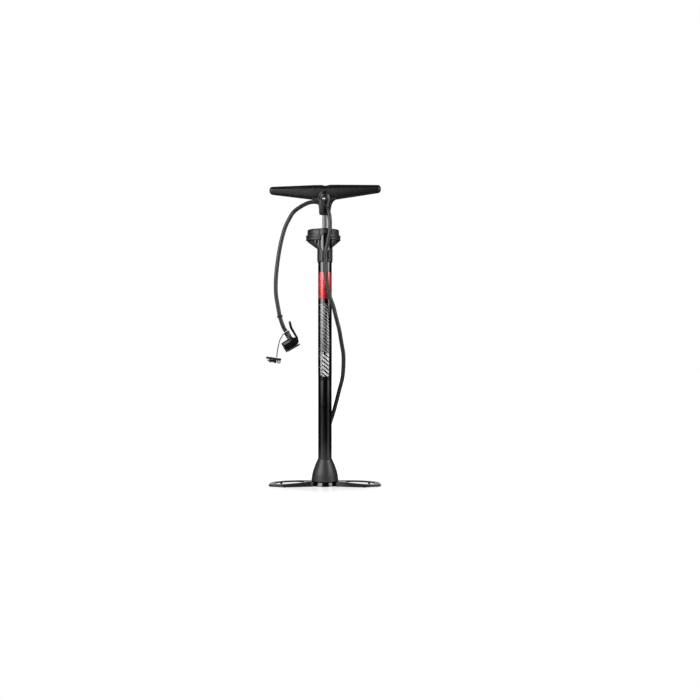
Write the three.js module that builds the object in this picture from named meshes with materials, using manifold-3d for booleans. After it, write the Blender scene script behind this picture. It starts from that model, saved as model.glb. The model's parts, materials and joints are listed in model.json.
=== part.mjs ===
// Floor bike pump with a top-mounted gauge, a pressed steel stand and a hose clipped to its handle.
// Millimetres, +Z up. The origin is on the floor, on the barrel's axis. +X runs along the handle,
// and the hose clip faces -Y.
import * as THREE from 'three';
import { ConvexGeometry } from 'three/addons/geometries/ConvexGeometry.js';
import { mergeVertices } from 'three/addons/utils/BufferGeometryUtils.js';
import Module from 'manifold-3d';

const wasm = await Module();
wasm.setup();

// ---- Driving dimensions ----

const GAP = 0.3;                    // between pieces that touch
const EPS = 1;                      // how far a cutting tool runs past the face it cuts

// Stand
const BASE_BOTTOM = 1;              // underside of the pressed plate's skirt
const HUB_TOP = 11;                 // top of the plate at the hub
const TIP_TOP = 4.5;                // top of the plate at the wing tips
const HUB_R = 27;
const HALF_SPAN = 124.5;
const PLATE_WALL = 1.6;
const WING_OUTLINE = [[20, -22], [88, -39], [124.5, -21], [119.5, 36], [92, 44], [60, 36], [20, 12]];
const WING_WINDOW = [[46, -17], [86, -27.5], [112, -15], [108, 28], [90, 33], [64, 27], [46, 10]];
const WING_CORNER_R = 14;
const WINDOW_CORNER_R = 9;
const FOOT_R = 2.7;
const WING_LIP = 3.2;                // depth of the wings' rim behind their deep front edge
const UNDERCUT_X = 31;
const FOOT_SPOTS = { front: [86.5, -31, 5], rear: [98, 35.8, 4.3] };    // x, y and the foot's top
const CENTRE_PAD_R = 16;
const CENTRE_PAD_TOP = 6;

// Base cone
const CONE_BOTTOM = HUB_TOP + GAP;
const CONE_OUTLINE = [[29.6, CONE_BOTTOM], [28.3, 24.5], [26.2, 33.5], [22, 45.3], [19, 52], [17, 56.4],
  [16.3, 59.2]];
const CONE_WALL = 2.4;
const SOCKET_R = 15.3;
const SOCKET_OUT_R = 17.5;
const SOCKET_FLOOR = [11.9, 14.7];
const BOSS_R = 3.6;
const BOSS_CIRCLE_R = 21.4;
const BOSS_TOP = 30;
const BASE_SCREW_ANGLES = [30, 150, 270];
const BASE_SCREW_R = 1.8;
const BASE_SCREW_HEAD_R = 3.4;

// Barrel and air cylinder
const BARREL_R = 15;
const BARREL_BORE_R = 14;
const BARREL_Z = [35.7, 556];
const CYLINDER_R = 11.2;
const CYLINDER_BORE_R = 10;
const CYLINDER_Z = [35.7, 545];
const PIPE_R = 1.1;
const PIPE_Y = 12.6;

// Valve block and outlet
const BLOCK_R = 14.8;
const BLOCK_Z = [15, 35.4];
const CHAMBER_R = 4.2;
const CHAMBER_Z = [18.5, 31];
const SEAT_R = 1.8;
const BALL_R = 3;
const BALL_Z = 28.2;
const PLUG_R = 4;
const PLUG_TOP = 19;
const SPRING_R = 2.4;
const SPRING_WIRE_R = 0.35;
const SPRING_TURNS = 4;
const OUTLET_Z = 26;
const OUTLET_R = 4.4;
const OUTLET_BORE_R = 1.9;
const OUTLET_Y = 36;
const BARB_R = 3.2;
const BARB_TOP = 50;
const OUTLET_NUT_Z = [33, 51.5];
const OUTLET_NUT_R = 7;

// Gauge housing, turned on the barrel
const HOUSING_TURN = 10;
const DRUM_R = 35.2;
const DRUM_Y = 24;
const DRUM_TOP = 566;
const DRUM_EDGE_R = 4.5;
const BAND_R = 38.4;
const BAND_Z = [541, 553.4];
const COLLAR_R = 17;
const COLLAR_Z = [491.3, 521];
const HOUSING_BORE_R = 15.3;
const HOUSING_BORE_TOP = 559.6;
const GROOVE = 1;
const SHELL_WALL = 2.6;
const RECESS = { angle: 57, r: 32.6, half: 9, z: [532.4, 540.4] };
const COLUMN_R = 17.4;
const WINDOW_HALF = 14;
const WINDOW_Z = [515.5, 555];
const SLOT_X = -1.6;                // the hose's slot and clip are a little to one side
const SLOT_HALF = 5.6;
const LOFT_TILT = 0.12;             // the cone's foot is higher on the right
const CLIP_HALF = 8.4;
const CLIP_Z = [499, 518];
const CLIP_FRONT = -24.2;
const HOSE_Y = -20;
const LUG = { half: 6.5, y: [14, 25], z: [497, 511] };
const CLAMP_SCREW_Y = 20.5;
const CLAMP_SCREW_Z = 504;

// Gauge
const GAUGE_Y = 29.5;
const BEZEL_R = 19.5;
const DIAL_R = 17.2;
const DIAL_Z = [559.9, 560.9];
const LENS_Z = [564.4, 566];
const MOVEMENT_R = 10.6;
const MOVEMENT_Z = [544.6, 559.6];
const NEEDLE_Z = [561.6, 562.3];
const NEEDLE_REST = 225;            // degrees from the dial's +X, at zero pressure

// Rod guide and piston
const ROD_R = 5.5;
const ROD_Z = [66, 636];
const ROD_TAIL_R = 3.8;
const ROD_TAIL_BOTTOM = 46.5;
const ROD_HOLE_R = 5.75;
const CAP_R = 15;
const CAP_Z = [547.5, 558.9];
const CAP_FLANGE_BOTTOM = 556.3;
const CAP_SPIGOT_R = 13.6;
const BUSHING_R = 8.2;
const BUSHING_Z = [545.6, 561.6];
const WIPER_R = 7.8;
const WIPER_Z = [561.9, 567];
const BUMPER_Z = [536, 545.3];

// Handle, turned with the rod
const HANDLE_TURN = -7;
const HANDLE_HALF = 124;
const HANDLE_ROOT_X = 25;
const HANDLE_ROOT = { bottom: 629.4, top: 662, half: 12 };
const HANDLE_TIP = { bottom: 643.3, top: 659.7, half: 9.6 };
const HANDLE_END_R = 6;
const SADDLE = { x: 2, half: 10, depth: 1.9 };
const STEM_R = 12.65;
const DOME_R = 15;                  // the stem swells where it meets the grip
const STEM_BOTTOM = 596.7;
const GUSSET_HALF = 9;
const HOOK_X = 1.2;
const HOOK_Z = 628.7;
const HOOK_BOSS_R = 7.4;
const HOOK_TAB_X = [-9.2, 1.4];
const HOOK_TAB_Y = [-27.8, -25.2];
const PAD_FRONT = -15.4;
const RIVET_R = 1.9;
const HANDLE_PIN_Z = 604;

// Hose and chuck
const HOSE_R = 4.4;
const HOSE_ROUTE = [[0, 36, 51.8], [0.6, 36, 70], [3.5, 34, 98], [10.2, 29, 134], [17.8, 25.5, 158],
  [25.1, 22, 185], [31.7, 17, 211], [38.3, 11, 237], [40.7, 4, 264], [40.5, -3, 290],
  [36.1, -10, 317], [31.7, -15, 343], [25.1, -18.5, 369], [18.3, -20.5, 396], [12, -21, 413],
  [5.3, -21, 442], [2.8, -20.6, 471], [1.9, -20.1, 493], [1.9, -20, 510], [2.5, -20, 519], [5.6, -20.4, 528],
  [8, -21.2, 541], [10.9, -21.6, 559], [11.5, -21, 579], [9.4, -19.6, 597], [3.2, -18.3, 611],
  [-8, -17.9, 619.2], [-22, -17.8, 622.6], [-37, -17.8, 620.2], [-66.5, -17.8, 602],
  [-78, -17.8, 585], [-87, -17.8, 565.5], [-95.5, -17.8, 535],
  [-101, -17.8, 505], [-105, -17.8, 475], [-107, -17.8, 449], [-106.6, -17.8, 422],
  [-102.7, -17.8, 396], [-97.4, -17.8, 370], [-90.2, -17.8, 348.6], [-84.9, -17.8, 339.43]];
const HOSE_STEPS = 48;
const RING_ALONG = 0.9615;          // place of the hose's ring, as a share of the hose's length
const CHUCK_PLACE = [-89.5, -17.8, 303.4];
const CHUCK_TILT = -30;
const CHUCK = { half: 12, depth: 9.5, x: [3, 29], boreR: 6.5, boreEnd: 24 };
const NECK_X = 22;
const HEEL = [[24, -12], [31.4, -12], [33.2, -10], [24, -10]];
const PIVOT = [28.5, 0.5];
const PIVOT_R = 2;
const PIVOT_HOLE_R = 2.3;
const TONGUE_R = 7;
const TONGUE_HALF = 3.9;
const EAR_R = 8;
const EAR_Y = [4.3, 7.8];
const LEVER_SIDE = [[34, 1.8], [33.8, 18], [33.5, 30.5], [37.6, 44], [42.6, 44.4], [38.6, 30], [38.4, 1.8]];

// Adapters on their lanyard
const HOLDER_PLACE = [-111.6, -17.8, 280.3];
const HOLDER_TILT = 8;
const HOLDER = { half: 16.5, thick: 2.3, depth: 4 };
const ADAPTER_DROP = -6.2;
const LANYARD_R = 1.1;
const LANYARD_ROUTE = [[-90.7, -17.8, 332.5], [-94.2, -17.8, 327.6], [-98.2, -17.8, 320.4],
  [-101.4, -17.8, 308.4], [-103.7, -17.8, 295], [-105.1, -17.8, 283]];

// ---- Colours and finishes ----

const finish = (color, roughness, metalness = 0, extra = {}) =>
  new THREE.MeshStandardMaterial({ color, roughness, metalness, ...extra });

const blackPaint = finish(0x0b0b0c, 0.12);
const blackGloss = finish(0x101011, 0.22);
const blackSatin = finish(0x1a1a1b, 0.45);
const greyPlastic = finish(0x3a3b3d, 0.6);
const hoseRubber = finish(0x2b2c2e, 0.55);
const blackRubber = finish(0x161617, 0.8);
const chrome = finish(0xd8dadd, 0.08, 1);
const zincSteel = finish(0xa9abad, 0.35, 1);
const brass = finish(0xb89a55, 0.3, 1);
const castAlloy = finish(0x8f9194, 0.45, 1);
const drawnAlloy = finish(0xb5b7ba, 0.3, 1);
const acetal = finish(0xe4e2da, 0.5);
const dialWhite = finish(0xf1f1ee, 0.7);
const needleRed = finish(0xb3191c, 0.5);
const clearLens = finish(0xf4f8fa, 0.05, 0, { transparent: true, opacity: 0.35 });

// ---- Helpers ----

const radians = THREE.MathUtils.degToRad;
const vector2 = ([x, y]) => new THREE.Vector2(x, y);
const vector3 = ([x, y, z]) => new THREE.Vector3(x, y, z);

// Merged vertices and no flattened triangles, so that the surface is closed.
function closed(geometry) {
  const bare = geometry.clone();
  bare.deleteAttribute('normal');
  bare.deleteAttribute('uv');
  const merged = mergeVertices(bare, 1e-4);
  const index = merged.getIndex().array;
  const kept = [];
  for (let i = 0; i < index.length; i += 3) {
    const [a, b, c] = [index[i], index[i + 1], index[i + 2]];
    if (a !== b && b !== c && c !== a) kept.push(a, b, c);
  }
  merged.setIndex(kept);
  return merged;
}

function toSolid(geometry) {
  const clean = closed(geometry);
  return new wasm.Manifold(new wasm.Mesh({
    numProp: 3,
    vertProperties: Float32Array.from(clean.getAttribute('position').array),
    triVerts: Uint32Array.from(clean.getIndex().array),
  }));
}

function toGeometry(solid) {
  const mesh = solid.getMesh();
  const geometry = new THREE.BufferGeometry();
  geometry.setAttribute('position', new THREE.BufferAttribute(mesh.vertProperties, 3));
  geometry.setIndex(new THREE.BufferAttribute(mesh.triVerts, 1));
  return geometry;
}

const union = (...pieces) => toGeometry(pieces.map(toSolid).reduce((a, b) => a.add(b)));
const subtract = (from, ...tools) =>
  toGeometry(tools.map(toSolid).reduce((a, b) => a.subtract(b), toSolid(from)));
const intersect = (a, b) => toGeometry(toSolid(a).intersect(toSolid(b)));

// A solid of revolution about Z from [radius, z] points: from axis to axis, or closed on itself.
function turned(profile, segments = 28) {
  const points = profile.map(vector2);
  const open = profile[0][0] === 0 && profile.at(-1)[0] === 0;
  if (THREE.ShapeUtils.area(points) < 0) points.reverse();
  if (!open) points.push(points[0].clone());
  return closed(new THREE.LatheGeometry(points, segments).rotateX(Math.PI / 2));
}

const disc = (r, z0, z1, segments = 16) => turned([[0, z0], [r, z0], [r, z1], [0, z1]], segments);
const ring = (outer, inner, z0, z1, segments = 20) =>
  turned([[inner, z0], [outer, z0], [outer, z1], [inner, z1]], segments);

// The same, lying along X or Y.
const alongX = (geometry) => geometry.rotateY(Math.PI / 2);
const alongY = (geometry) => geometry.rotateX(-Math.PI / 2);

function block(x0, x1, y0, y1, z0, z1) {
  const box = new THREE.BoxGeometry(x1 - x0, y1 - y0, z1 - z0);
  return box.translate((x0 + x1) / 2, (y0 + y1) / 2, (z0 + z1) / 2);
}

// An upright prism from a plan outline.
function prism(outline, z0, z1) {
  const shape = outline instanceof THREE.Shape ? outline : new THREE.Shape(outline.map(vector2));
  const options = { depth: z1 - z0, bevelEnabled: false, curveSegments: 3 };
  return new THREE.ExtrudeGeometry(shape, options).translate(0, 0, z0);
}

// A slab from a side outline of [x, z] points, between two Y values.
function slab(outline, y0, y1) {
  return prism(outline, -y1, -y0).rotateX(Math.PI / 2);
}

// A polygon with each corner turned into a curve of about the given radius.
function softCorners(corners, radius) {
  const shape = new THREE.Shape();
  const points = corners.map(vector2);
  points.forEach((corner, i) => {
    const before = points.at(i - 1);
    const after = points[(i + 1) % points.length];
    const enter = corner.clone().lerp(before, Math.min(0.48, radius / corner.distanceTo(before)));
    const leave = corner.clone().lerp(after, Math.min(0.48, radius / corner.distanceTo(after)));
    if (i === 0) shape.moveTo(enter.x, enter.y);
    else shape.lineTo(enter.x, enter.y);
    shape.quadraticCurveTo(corner.x, corner.y, leave.x, leave.y);
  });
  shape.closePath();
  return shape;
}

// A polygon with every side moved inwards by a distance, or outwards by a negative one.
function offsetOutline(corners, distance) {
  const points = corners.map(vector2);
  const turn = Math.sign(THREE.ShapeUtils.area(points));
  const inward = (from, to) => {
    const side = to.clone().sub(from).normalize();
    return new THREE.Vector2(-side.y, side.x).multiplyScalar(turn);
  };
  return points.map((corner, i) => {
    const first = inward(points.at(i - 1), corner);
    const second = inward(corner, points[(i + 1) % points.length]);
    const shift = first.clone().add(second).multiplyScalar(distance / (1 + first.dot(second)));
    return [corner.x + shift.x, corner.y + shift.y];
  });
}

function circlePoints(x, y, z, r, count) {
  const points = [];
  for (let i = 0; i < count; i += 1) {
    const angle = (2 * Math.PI * i) / count;
    points.push(new THREE.Vector3(x + r * Math.cos(angle), y + r * Math.sin(angle), z));
  }
  return points;
}

// A skin over rings of equal point count, closed with a fan at each end.
function loft(rings) {
  const count = rings[0].length;
  const positions = rings.flat().flatMap((point) => point.toArray());
  const faces = [];
  for (let row = 0; row + 1 < rings.length; row += 1) {
    for (let i = 0; i < count; i += 1) {
      const next = (i + 1) % count;
      const [a, b] = [row * count + i, row * count + next];
      faces.push(a, b, a + count, b, b + count, a + count);
    }
  }
  for (const [row, flip] of [[0, true], [rings.length - 1, false]]) {
    const centre = new THREE.Vector3();
    rings[row].forEach((point) => centre.addScaledVector(point, 1 / count));
    const hub = positions.length / 3;
    positions.push(...centre.toArray());
    for (let i = 0; i < count; i += 1) {
      const [a, b] = [row * count + i, row * count + ((i + 1) % count)];
      faces.push(...(flip ? [b, a, hub] : [a, b, hub]));
    }
  }
  const geometry = new THREE.BufferGeometry();
  geometry.setAttribute('position', new THREE.Float32BufferAttribute(positions, 3));
  geometry.setIndex(faces);
  return geometry;
}

function roundShape(r, sides) {
  const shape = new THREE.Shape();
  for (let i = 0; i < sides; i += 1) {
    const angle = (2 * Math.PI * i) / sides;
    if (i === 0) shape.moveTo(r, 0);
    else shape.lineTo(r * Math.cos(angle), r * Math.sin(angle));
  }
  shape.closePath();
  return shape;
}

function tube(curve, r, sides, steps) {
  const options = { extrudePath: curve, steps, bevelEnabled: false };
  return closed(new THREE.ExtrudeGeometry(roundShape(r, sides), options));
}

const curveThrough = (points) =>
  new THREE.CatmullRomCurve3(points.map(vector3), false, 'centripetal');

function addMesh(parent, name, geometry, material) {
  const mesh = new THREE.Mesh(geometry, material);
  mesh.name = name;
  parent.add(mesh);
  return mesh;
}

// ---- Stand: pressed plate, feet, centre pad, cone and its screws ----

const mirrored = (outline) => outline.map(([x, y]) => [-x, y]).reverse();

// Everything under the plate's sloping top face, lowered by a distance.
function underRoof(lowered) {
  const top = HUB_TOP - lowered;
  const tip = TIP_TOP - lowered;
  const reach = HALF_SPAN + EPS;
  const roof = [[-reach, -EPS], [reach, -EPS], [reach, tip], [HUB_R, top], [-HUB_R, top], [-reach, tip]];
  return slab(roof, -60, 60);
}

function platePlan(inset, z0) {
  const outline = offsetOutline(WING_OUTLINE, inset);
  const window = offsetOutline(WING_WINDOW, -inset);
  const wing = (corners) => prism(softCorners(corners, WING_CORNER_R - inset), z0, HUB_TOP + EPS);
  const hole = (corners) => prism(softCorners(corners, WINDOW_CORNER_R + inset), z0 - EPS, HUB_TOP + 2 * EPS);
  const whole = union(disc(HUB_R - inset, z0, HUB_TOP + EPS, 40), wing(outline), wing(mirrored(outline)));
  return subtract(whole, hole(window), hole(mirrored(window)));
}

function baseScrewSpots() {
  return BASE_SCREW_ANGLES.map((degrees) => {
    const angle = radians(degrees);
    return [BOSS_CIRCLE_R * Math.cos(angle), BOSS_CIRCLE_R * Math.sin(angle)];
  });
}

// The air under a wing, which leaves a shallow rim round its window and along its back.
function wingUndercut(facing) {
  const round = facing(offsetOutline(WING_WINDOW, -PLATE_WALL - EPS));
  const reach = HALF_SPAN + EPS;
  const behind = facing([[UNDERCUT_X, 0], [reach, 0], [reach, 60], [UNDERCUT_X, 60]]);
  const air = union(prism(round, -EPS, HUB_TOP), prism(behind, -EPS, HUB_TOP));
  return intersect(air, underRoof(WING_LIP));
}

function basePlate() {
  const outside = intersect(platePlan(0, BASE_BOTTOM), underRoof(0));
  const inside = intersect(platePlan(PLATE_WALL, -EPS / 2), underRoof(PLATE_WALL));
  const screwHoles = baseScrewSpots().map(([x, y]) =>
    disc(BASE_SCREW_R + GAP, 0, HUB_TOP + EPS, 16).translate(x, y, 0));
  const undercuts = [wingUndercut((outline) => outline), wingUndercut(mirrored)];
  return subtract(outside, inside, ...undercuts, ...screwHoles);
}

function baseCone() {
  const inner = CONE_OUTLINE.slice(0, 2).map(([r, z]) => [r - CONE_WALL, z]).reverse();
  const [floorBottom, floorTop] = SOCKET_FLOOR;
  const shell = turned([...CONE_OUTLINE, [SOCKET_R, CONE_OUTLINE.at(-1)[1]], [SOCKET_R, floorTop],
    [8, floorTop], [8, floorBottom], [SOCKET_OUT_R, floorBottom], [SOCKET_OUT_R, 42], ...inner], 28);
  const bosses = baseScrewSpots().map(([x, y]) =>
    disc(BOSS_R, CONE_BOTTOM, BOSS_TOP, 16).translate(x, y, 0));
  const screwHoles = baseScrewSpots().map(([x, y]) =>
    disc(BASE_SCREW_R + GAP, 0, BOSS_TOP - 3, 16).translate(x, y, 0));
  const outlet = alongY(disc(OUTLET_R + 0.6, 12, 34)).translate(0, 0, OUTLET_Z);
  return subtract(union(shell, ...bosses), ...screwHoles, outlet);
}

function baseScrew() {
  const headTop = HUB_TOP - PLATE_WALL - GAP;
  return turned([[0, headTop - 2.2], [BASE_SCREW_HEAD_R - 0.8, headTop - 2.2],
    [BASE_SCREW_HEAD_R, headTop - 1.2], [BASE_SCREW_HEAD_R, headTop],
    [BASE_SCREW_R, headTop], [BASE_SCREW_R, 21], [0, 22]], 12);
}

function addStand(pump) {
  addMesh(pump, 'base_plate', basePlate(), blackPaint);
  for (const [end, [x, y, top]] of Object.entries(FOOT_SPOTS)) {
    for (const [side, sign] of [['left', -1], ['right', 1]]) {
      const pad = turned([[0, 0], [FOOT_R - 0.5, 0], [FOOT_R, 0.5], [FOOT_R, top], [0, top]], 14);
      addMesh(pump, `foot_${end}_${side}`, pad, blackRubber).position.set(sign * x, y, 0);
    }
  }
  const pad = turned([[0, 0], [CENTRE_PAD_R - 0.8, 0], [CENTRE_PAD_R, 0.8],
    [CENTRE_PAD_R, CENTRE_PAD_TOP], [0, CENTRE_PAD_TOP]], 28);
  addMesh(pump, 'centre_pad', pad, blackRubber);
  addMesh(pump, 'base_cone', baseCone(), greyPlastic);
  baseScrewSpots().forEach(([x, y], i) => {
    addMesh(pump, `base_screw_${i + 1}`, baseScrew(), zincSteel).position.set(x, y, 0);
  });
}

// ---- Valve block, check valve and outlet ----

function valveBlock() {
  const [bottom, top] = BLOCK_Z;
  return subtract(disc(BLOCK_R, bottom, top, 28),
    disc(PLUG_R + GAP, bottom - EPS, CHAMBER_Z[0] + EPS),
    disc(CHAMBER_R, CHAMBER_Z[0], CHAMBER_Z[1]),
    disc(SEAT_R, CHAMBER_Z[1] - EPS, top + EPS, 16),
    alongY(disc(OUTLET_BORE_R, 0, BLOCK_R + EPS, 16)).translate(0, 0, OUTLET_Z),
    alongY(disc(OUTLET_R + GAP, 9, BLOCK_R + EPS)).translate(0, 0, OUTLET_Z),
    disc(PIPE_R + GAP, OUTLET_Z, top + EPS, 12).translate(0, PIPE_Y, 0));
}

function valvePlug() {
  const [, floorTop] = SOCKET_FLOOR;
  return turned([[0, floorTop - 2.4], [7, floorTop - 2.4], [7, floorTop], [PLUG_R, floorTop],
    [PLUG_R, PLUG_TOP], [0, PLUG_TOP]], 16);
}

class Helix extends THREE.Curve {
  constructor(r, z0, z1, turns) {
    super();
    Object.assign(this, { r, z0, z1, turns });
  }

  getPoint(t, target = new THREE.Vector3()) {
    const angle = 2 * Math.PI * this.turns * t;
    const z = THREE.MathUtils.lerp(this.z0, this.z1, t);
    return target.set(this.r * Math.cos(angle), this.r * Math.sin(angle), z);
  }
}

function valveSpring() {
  const low = PLUG_TOP + GAP + SPRING_WIRE_R;
  const high = BALL_Z - BALL_R - GAP - SPRING_WIRE_R;
  return tube(new Helix(SPRING_R, low, high, SPRING_TURNS), SPRING_WIRE_R, 4, SPRING_TURNS * 8);
}

function outletElbow() {
  const spigot = alongY(disc(OUTLET_R, 9.3, OUTLET_Y - 1.3)).translate(0, 0, OUTLET_Z);
  const barb = turned([[0, OUTLET_Z - 5.4], [4, OUTLET_Z - 5.4], [5.3, OUTLET_Z - 4.1], [5.3, OUTLET_Z + 4.9],
    [OUTLET_R, OUTLET_Z + 5.5], [OUTLET_R, 34.6], [BARB_R, 35.8], [BARB_R, BARB_TOP], [0, BARB_TOP]], 16);
  const level = alongY(disc(OUTLET_BORE_R - 0.3, 8, OUTLET_Y - 0.4, 12)).translate(0, 0, OUTLET_Z);
  const upright = disc(OUTLET_BORE_R + 0.2, OUTLET_Z - 2.2, BARB_TOP + EPS, 12).translate(0, OUTLET_Y, 0);
  return subtract(union(spigot, barb.translate(0, OUTLET_Y, 0)), level, upright);
}

function outletNut() {
  const [bottom, top] = OUTLET_NUT_Z;
  const bore = BARB_R + 0.4;
  return turned([[OUTLET_R + GAP, bottom], [OUTLET_NUT_R - 0.6, bottom], [OUTLET_NUT_R, bottom + 0.8],
    [OUTLET_NUT_R, top - 4], [OUTLET_NUT_R - 1.2, top], [bore, top], [bore, bottom + 3.6],
    [OUTLET_R + GAP, bottom + 2.6]], 18);
}

function addValve(pump) {
  addMesh(pump, 'valve_block', valveBlock(), brass);
  addMesh(pump, 'valve_plug', valvePlug(), brass);
  addMesh(pump, 'check_ball', closed(new THREE.SphereGeometry(BALL_R, 12, 7)), zincSteel)
    .position.set(0, 0, BALL_Z);
  addMesh(pump, 'valve_spring', valveSpring(), zincSteel);
  addMesh(pump, 'outlet_elbow', outletElbow(), brass);
  addMesh(pump, 'outlet_nut', outletNut(), blackSatin).position.set(0, OUTLET_Y, 0);
}

// ---- Barrel, air cylinder and gauge pipe ----

function addBarrel(pump) {
  const tubeSolid = ring(BARREL_R, BARREL_BORE_R, ...BARREL_Z, 36);
  const notch = block(-4.6, 2.6, 10, 18, 519, BARREL_Z[1] + EPS);
  addMesh(pump, 'barrel_tube', subtract(tubeSolid, notch), blackPaint);
  addMesh(pump, 'air_cylinder', ring(CYLINDER_R, CYLINDER_BORE_R, ...CYLINDER_Z, 28), drawnAlloy);
  const pipeRun = curveThrough([[0, PIPE_Y, 32], [0, PIPE_Y, 130], [0, PIPE_Y, 260], [0, PIPE_Y, 390],
    [0, PIPE_Y, 500], [0, PIPE_Y, 524], [-1.1, 14.3, 534], [-2.6, 16.4, 542], [-3, 17.3, 549]]);
  addMesh(pump, 'gauge_pipe', tube(pipeRun, PIPE_R, 6, 18), brass);
}

// ---- Gauge housing and gauge ----

// Rounded drum and ribbed band, centred behind the barrel.
function drumShape() {
  const [low, high] = BAND_Z;
  const points = [[0, low], [BAND_R - 1, low], [BAND_R, low + 1], [BAND_R, low + 4],
    [BAND_R - GROOVE, low + 5], [BAND_R - GROOVE, high - 5], [BAND_R, high - 4], [BAND_R, high - 1],
    [DRUM_R, high]];
  for (let step = 0; step <= 3; step += 1) {
    const angle = radians(step * 30);
    const inset = DRUM_EDGE_R * (1 - Math.cos(angle));
    points.push([DRUM_R - inset, DRUM_TOP - DRUM_EDGE_R * (1 - Math.sin(angle))]);
  }
  points.push([0, DRUM_TOP]);
  return turned(points, 28).translate(0, DRUM_Y, 0);
}

function housingWindow() {
  const [bottom, top] = WINDOW_Z;
  const [slotLeft, slotRight] = [SLOT_X - SLOT_HALF, SLOT_X + SLOT_HALF];
  const shape = new THREE.Shape();
  shape.moveTo(slotLeft, COLLAR_Z[0] - EPS);
  shape.lineTo(slotRight, COLLAR_Z[0] - EPS);
  shape.lineTo(slotRight, bottom);
  shape.bezierCurveTo(slotRight + 4, bottom + 3, WINDOW_HALF, bottom + 8, WINDOW_HALF, bottom + 16);
  shape.bezierCurveTo(WINDOW_HALF, top - 5, WINDOW_HALF - 4, top, 0, top);
  shape.bezierCurveTo(-WINDOW_HALF + 4, top, -WINDOW_HALF, top - 5, -WINDOW_HALF, bottom + 16);
  shape.bezierCurveTo(-WINDOW_HALF, bottom + 8, slotLeft - 4, bottom + 3, slotLeft, bottom);
  shape.closePath();
  return slab(shape, -40, -5);
}

function housingBody() {
  const loftPoints = [...circlePoints(0, DRUM_Y, BAND_Z[0] + 0.2, DRUM_R + 0.6, 28),
    ...circlePoints(0, DRUM_Y, BAND_Z[0] - 3, DRUM_R - 1.4, 28),
    ...circlePoints(0, 0, COLLAR_Z[1] + 2, COLLAR_R, 28).map((p) => p.setZ(p.z + LOFT_TILT * p.x))];
  const collar = turned([[0, COLLAR_Z[0]], [COLLAR_R - 0.6, COLLAR_Z[0]], [COLLAR_R, 498],
    [COLLAR_R, DRUM_TOP - 2], [COLLAR_R - 2, DRUM_TOP], [0, DRUM_TOP]], 28);
  const clip = block(-CLIP_HALF, CLIP_HALF, CLIP_FRONT, -10, ...CLIP_Z);
  const lug = block(-LUG.half, LUG.half, ...LUG.y, ...LUG.z);
  return union(drumShape(), new ConvexGeometry(loftPoints), collar, clip, lug);
}

// The hollow round the gauge movement, which leaves a column round the barrel.
function housingHollow() {
  const room = disc(DRUM_R - SHELL_WALL, BAND_Z[0] + 3, 557, 28).translate(0, DRUM_Y, 0);
  return subtract(room, disc(COLUMN_R, BAND_Z[0], 560, 28));
}

function gaugeHousing() {
  const gaugeSeat = disc(BEZEL_R + GAP, DIAL_Z[0] - GAP, DRUM_TOP + EPS, 28).translate(0, GAUGE_Y, 0);
  const well = disc(MOVEMENT_R + 0.8, BAND_Z[0] + 3, DIAL_Z[0], 24).translate(0, GAUGE_Y, 0);
  const bore = disc(HOUSING_BORE_R, COLLAR_Z[0] - EPS, HOUSING_BORE_TOP, 32);
  const rodHole = disc(WIPER_R + GAP, HOUSING_BORE_TOP - EPS, DRUM_TOP + EPS, 24);
  const flangeRoom = disc(BUSHING_R + 2.1, HOUSING_BORE_TOP - EPS, WIPER_Z[0] + GAP, 24);
  const channel = disc(HOSE_R + 0.6, CLIP_Z[0] - 9, CLIP_Z[1] + EPS, 18).translate(SLOT_X, HOSE_Y, 0);
  const mouth = block(SLOT_X - 3.4, SLOT_X + 3.4, -30, HOSE_Y, CLIP_Z[0] - EPS, CLIP_Z[1] + EPS);
  const pipeWay = block(-2.6, 2.6, 13, 22, 516, 552);
  const slit = block(-0.8, 0.8, 12, 27, COLLAR_Z[0] - EPS, 514);
  const screwHole = alongX(disc(2, -9, 9, 16)).translate(0, CLAMP_SCREW_Y, CLAMP_SCREW_Z);
  const recesses = [-1, 1].map((side) => {
    const pocket = block(-RECESS.half, RECESS.half, -RECESS.r - 5, -RECESS.r + 2, ...RECESS.z);
    return pocket.rotateZ(radians(side * RECESS.angle)).translate(0, DRUM_Y, 0);
  });
  return subtract(housingBody(), housingHollow(), gaugeSeat, well, bore, rodHole, flangeRoom,
    housingWindow(), channel, mouth, pipeWay, slit, screwHole, ...recesses);
}

function gaugeBezel() {
  return turned([[DIAL_R + GAP, DIAL_Z[0]], [BEZEL_R, DIAL_Z[0]], [BEZEL_R, 566.2], [BEZEL_R - 0.7, 566.9],
    [DIAL_R - 0.8, 566.9], [DIAL_R - 0.8, LENS_Z[1] + GAP], [DIAL_R + GAP, LENS_Z[1] + GAP]], 32);
}

function gaugeNeedle() {
  const hand = prism([[-4, -0.7], [11, -0.35], [14.4, 0], [11, 0.35], [-4, 0.7]], ...NEEDLE_Z);
  const hub = disc(1.9, NEEDLE_Z[0] - 0.3, NEEDLE_Z[1] + 0.6, 16);
  return union(hand, hub).rotateZ(radians(NEEDLE_REST));
}

function clampScrew() {
  return alongX(turned([[0, -8.2], [1.7, -8.2], [1.7, LUG.half + GAP], [3.3, LUG.half + GAP],
    [3.3, LUG.half + 2.4], [2.5, LUG.half + 3], [0, LUG.half + 3]], 16));
}

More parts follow.
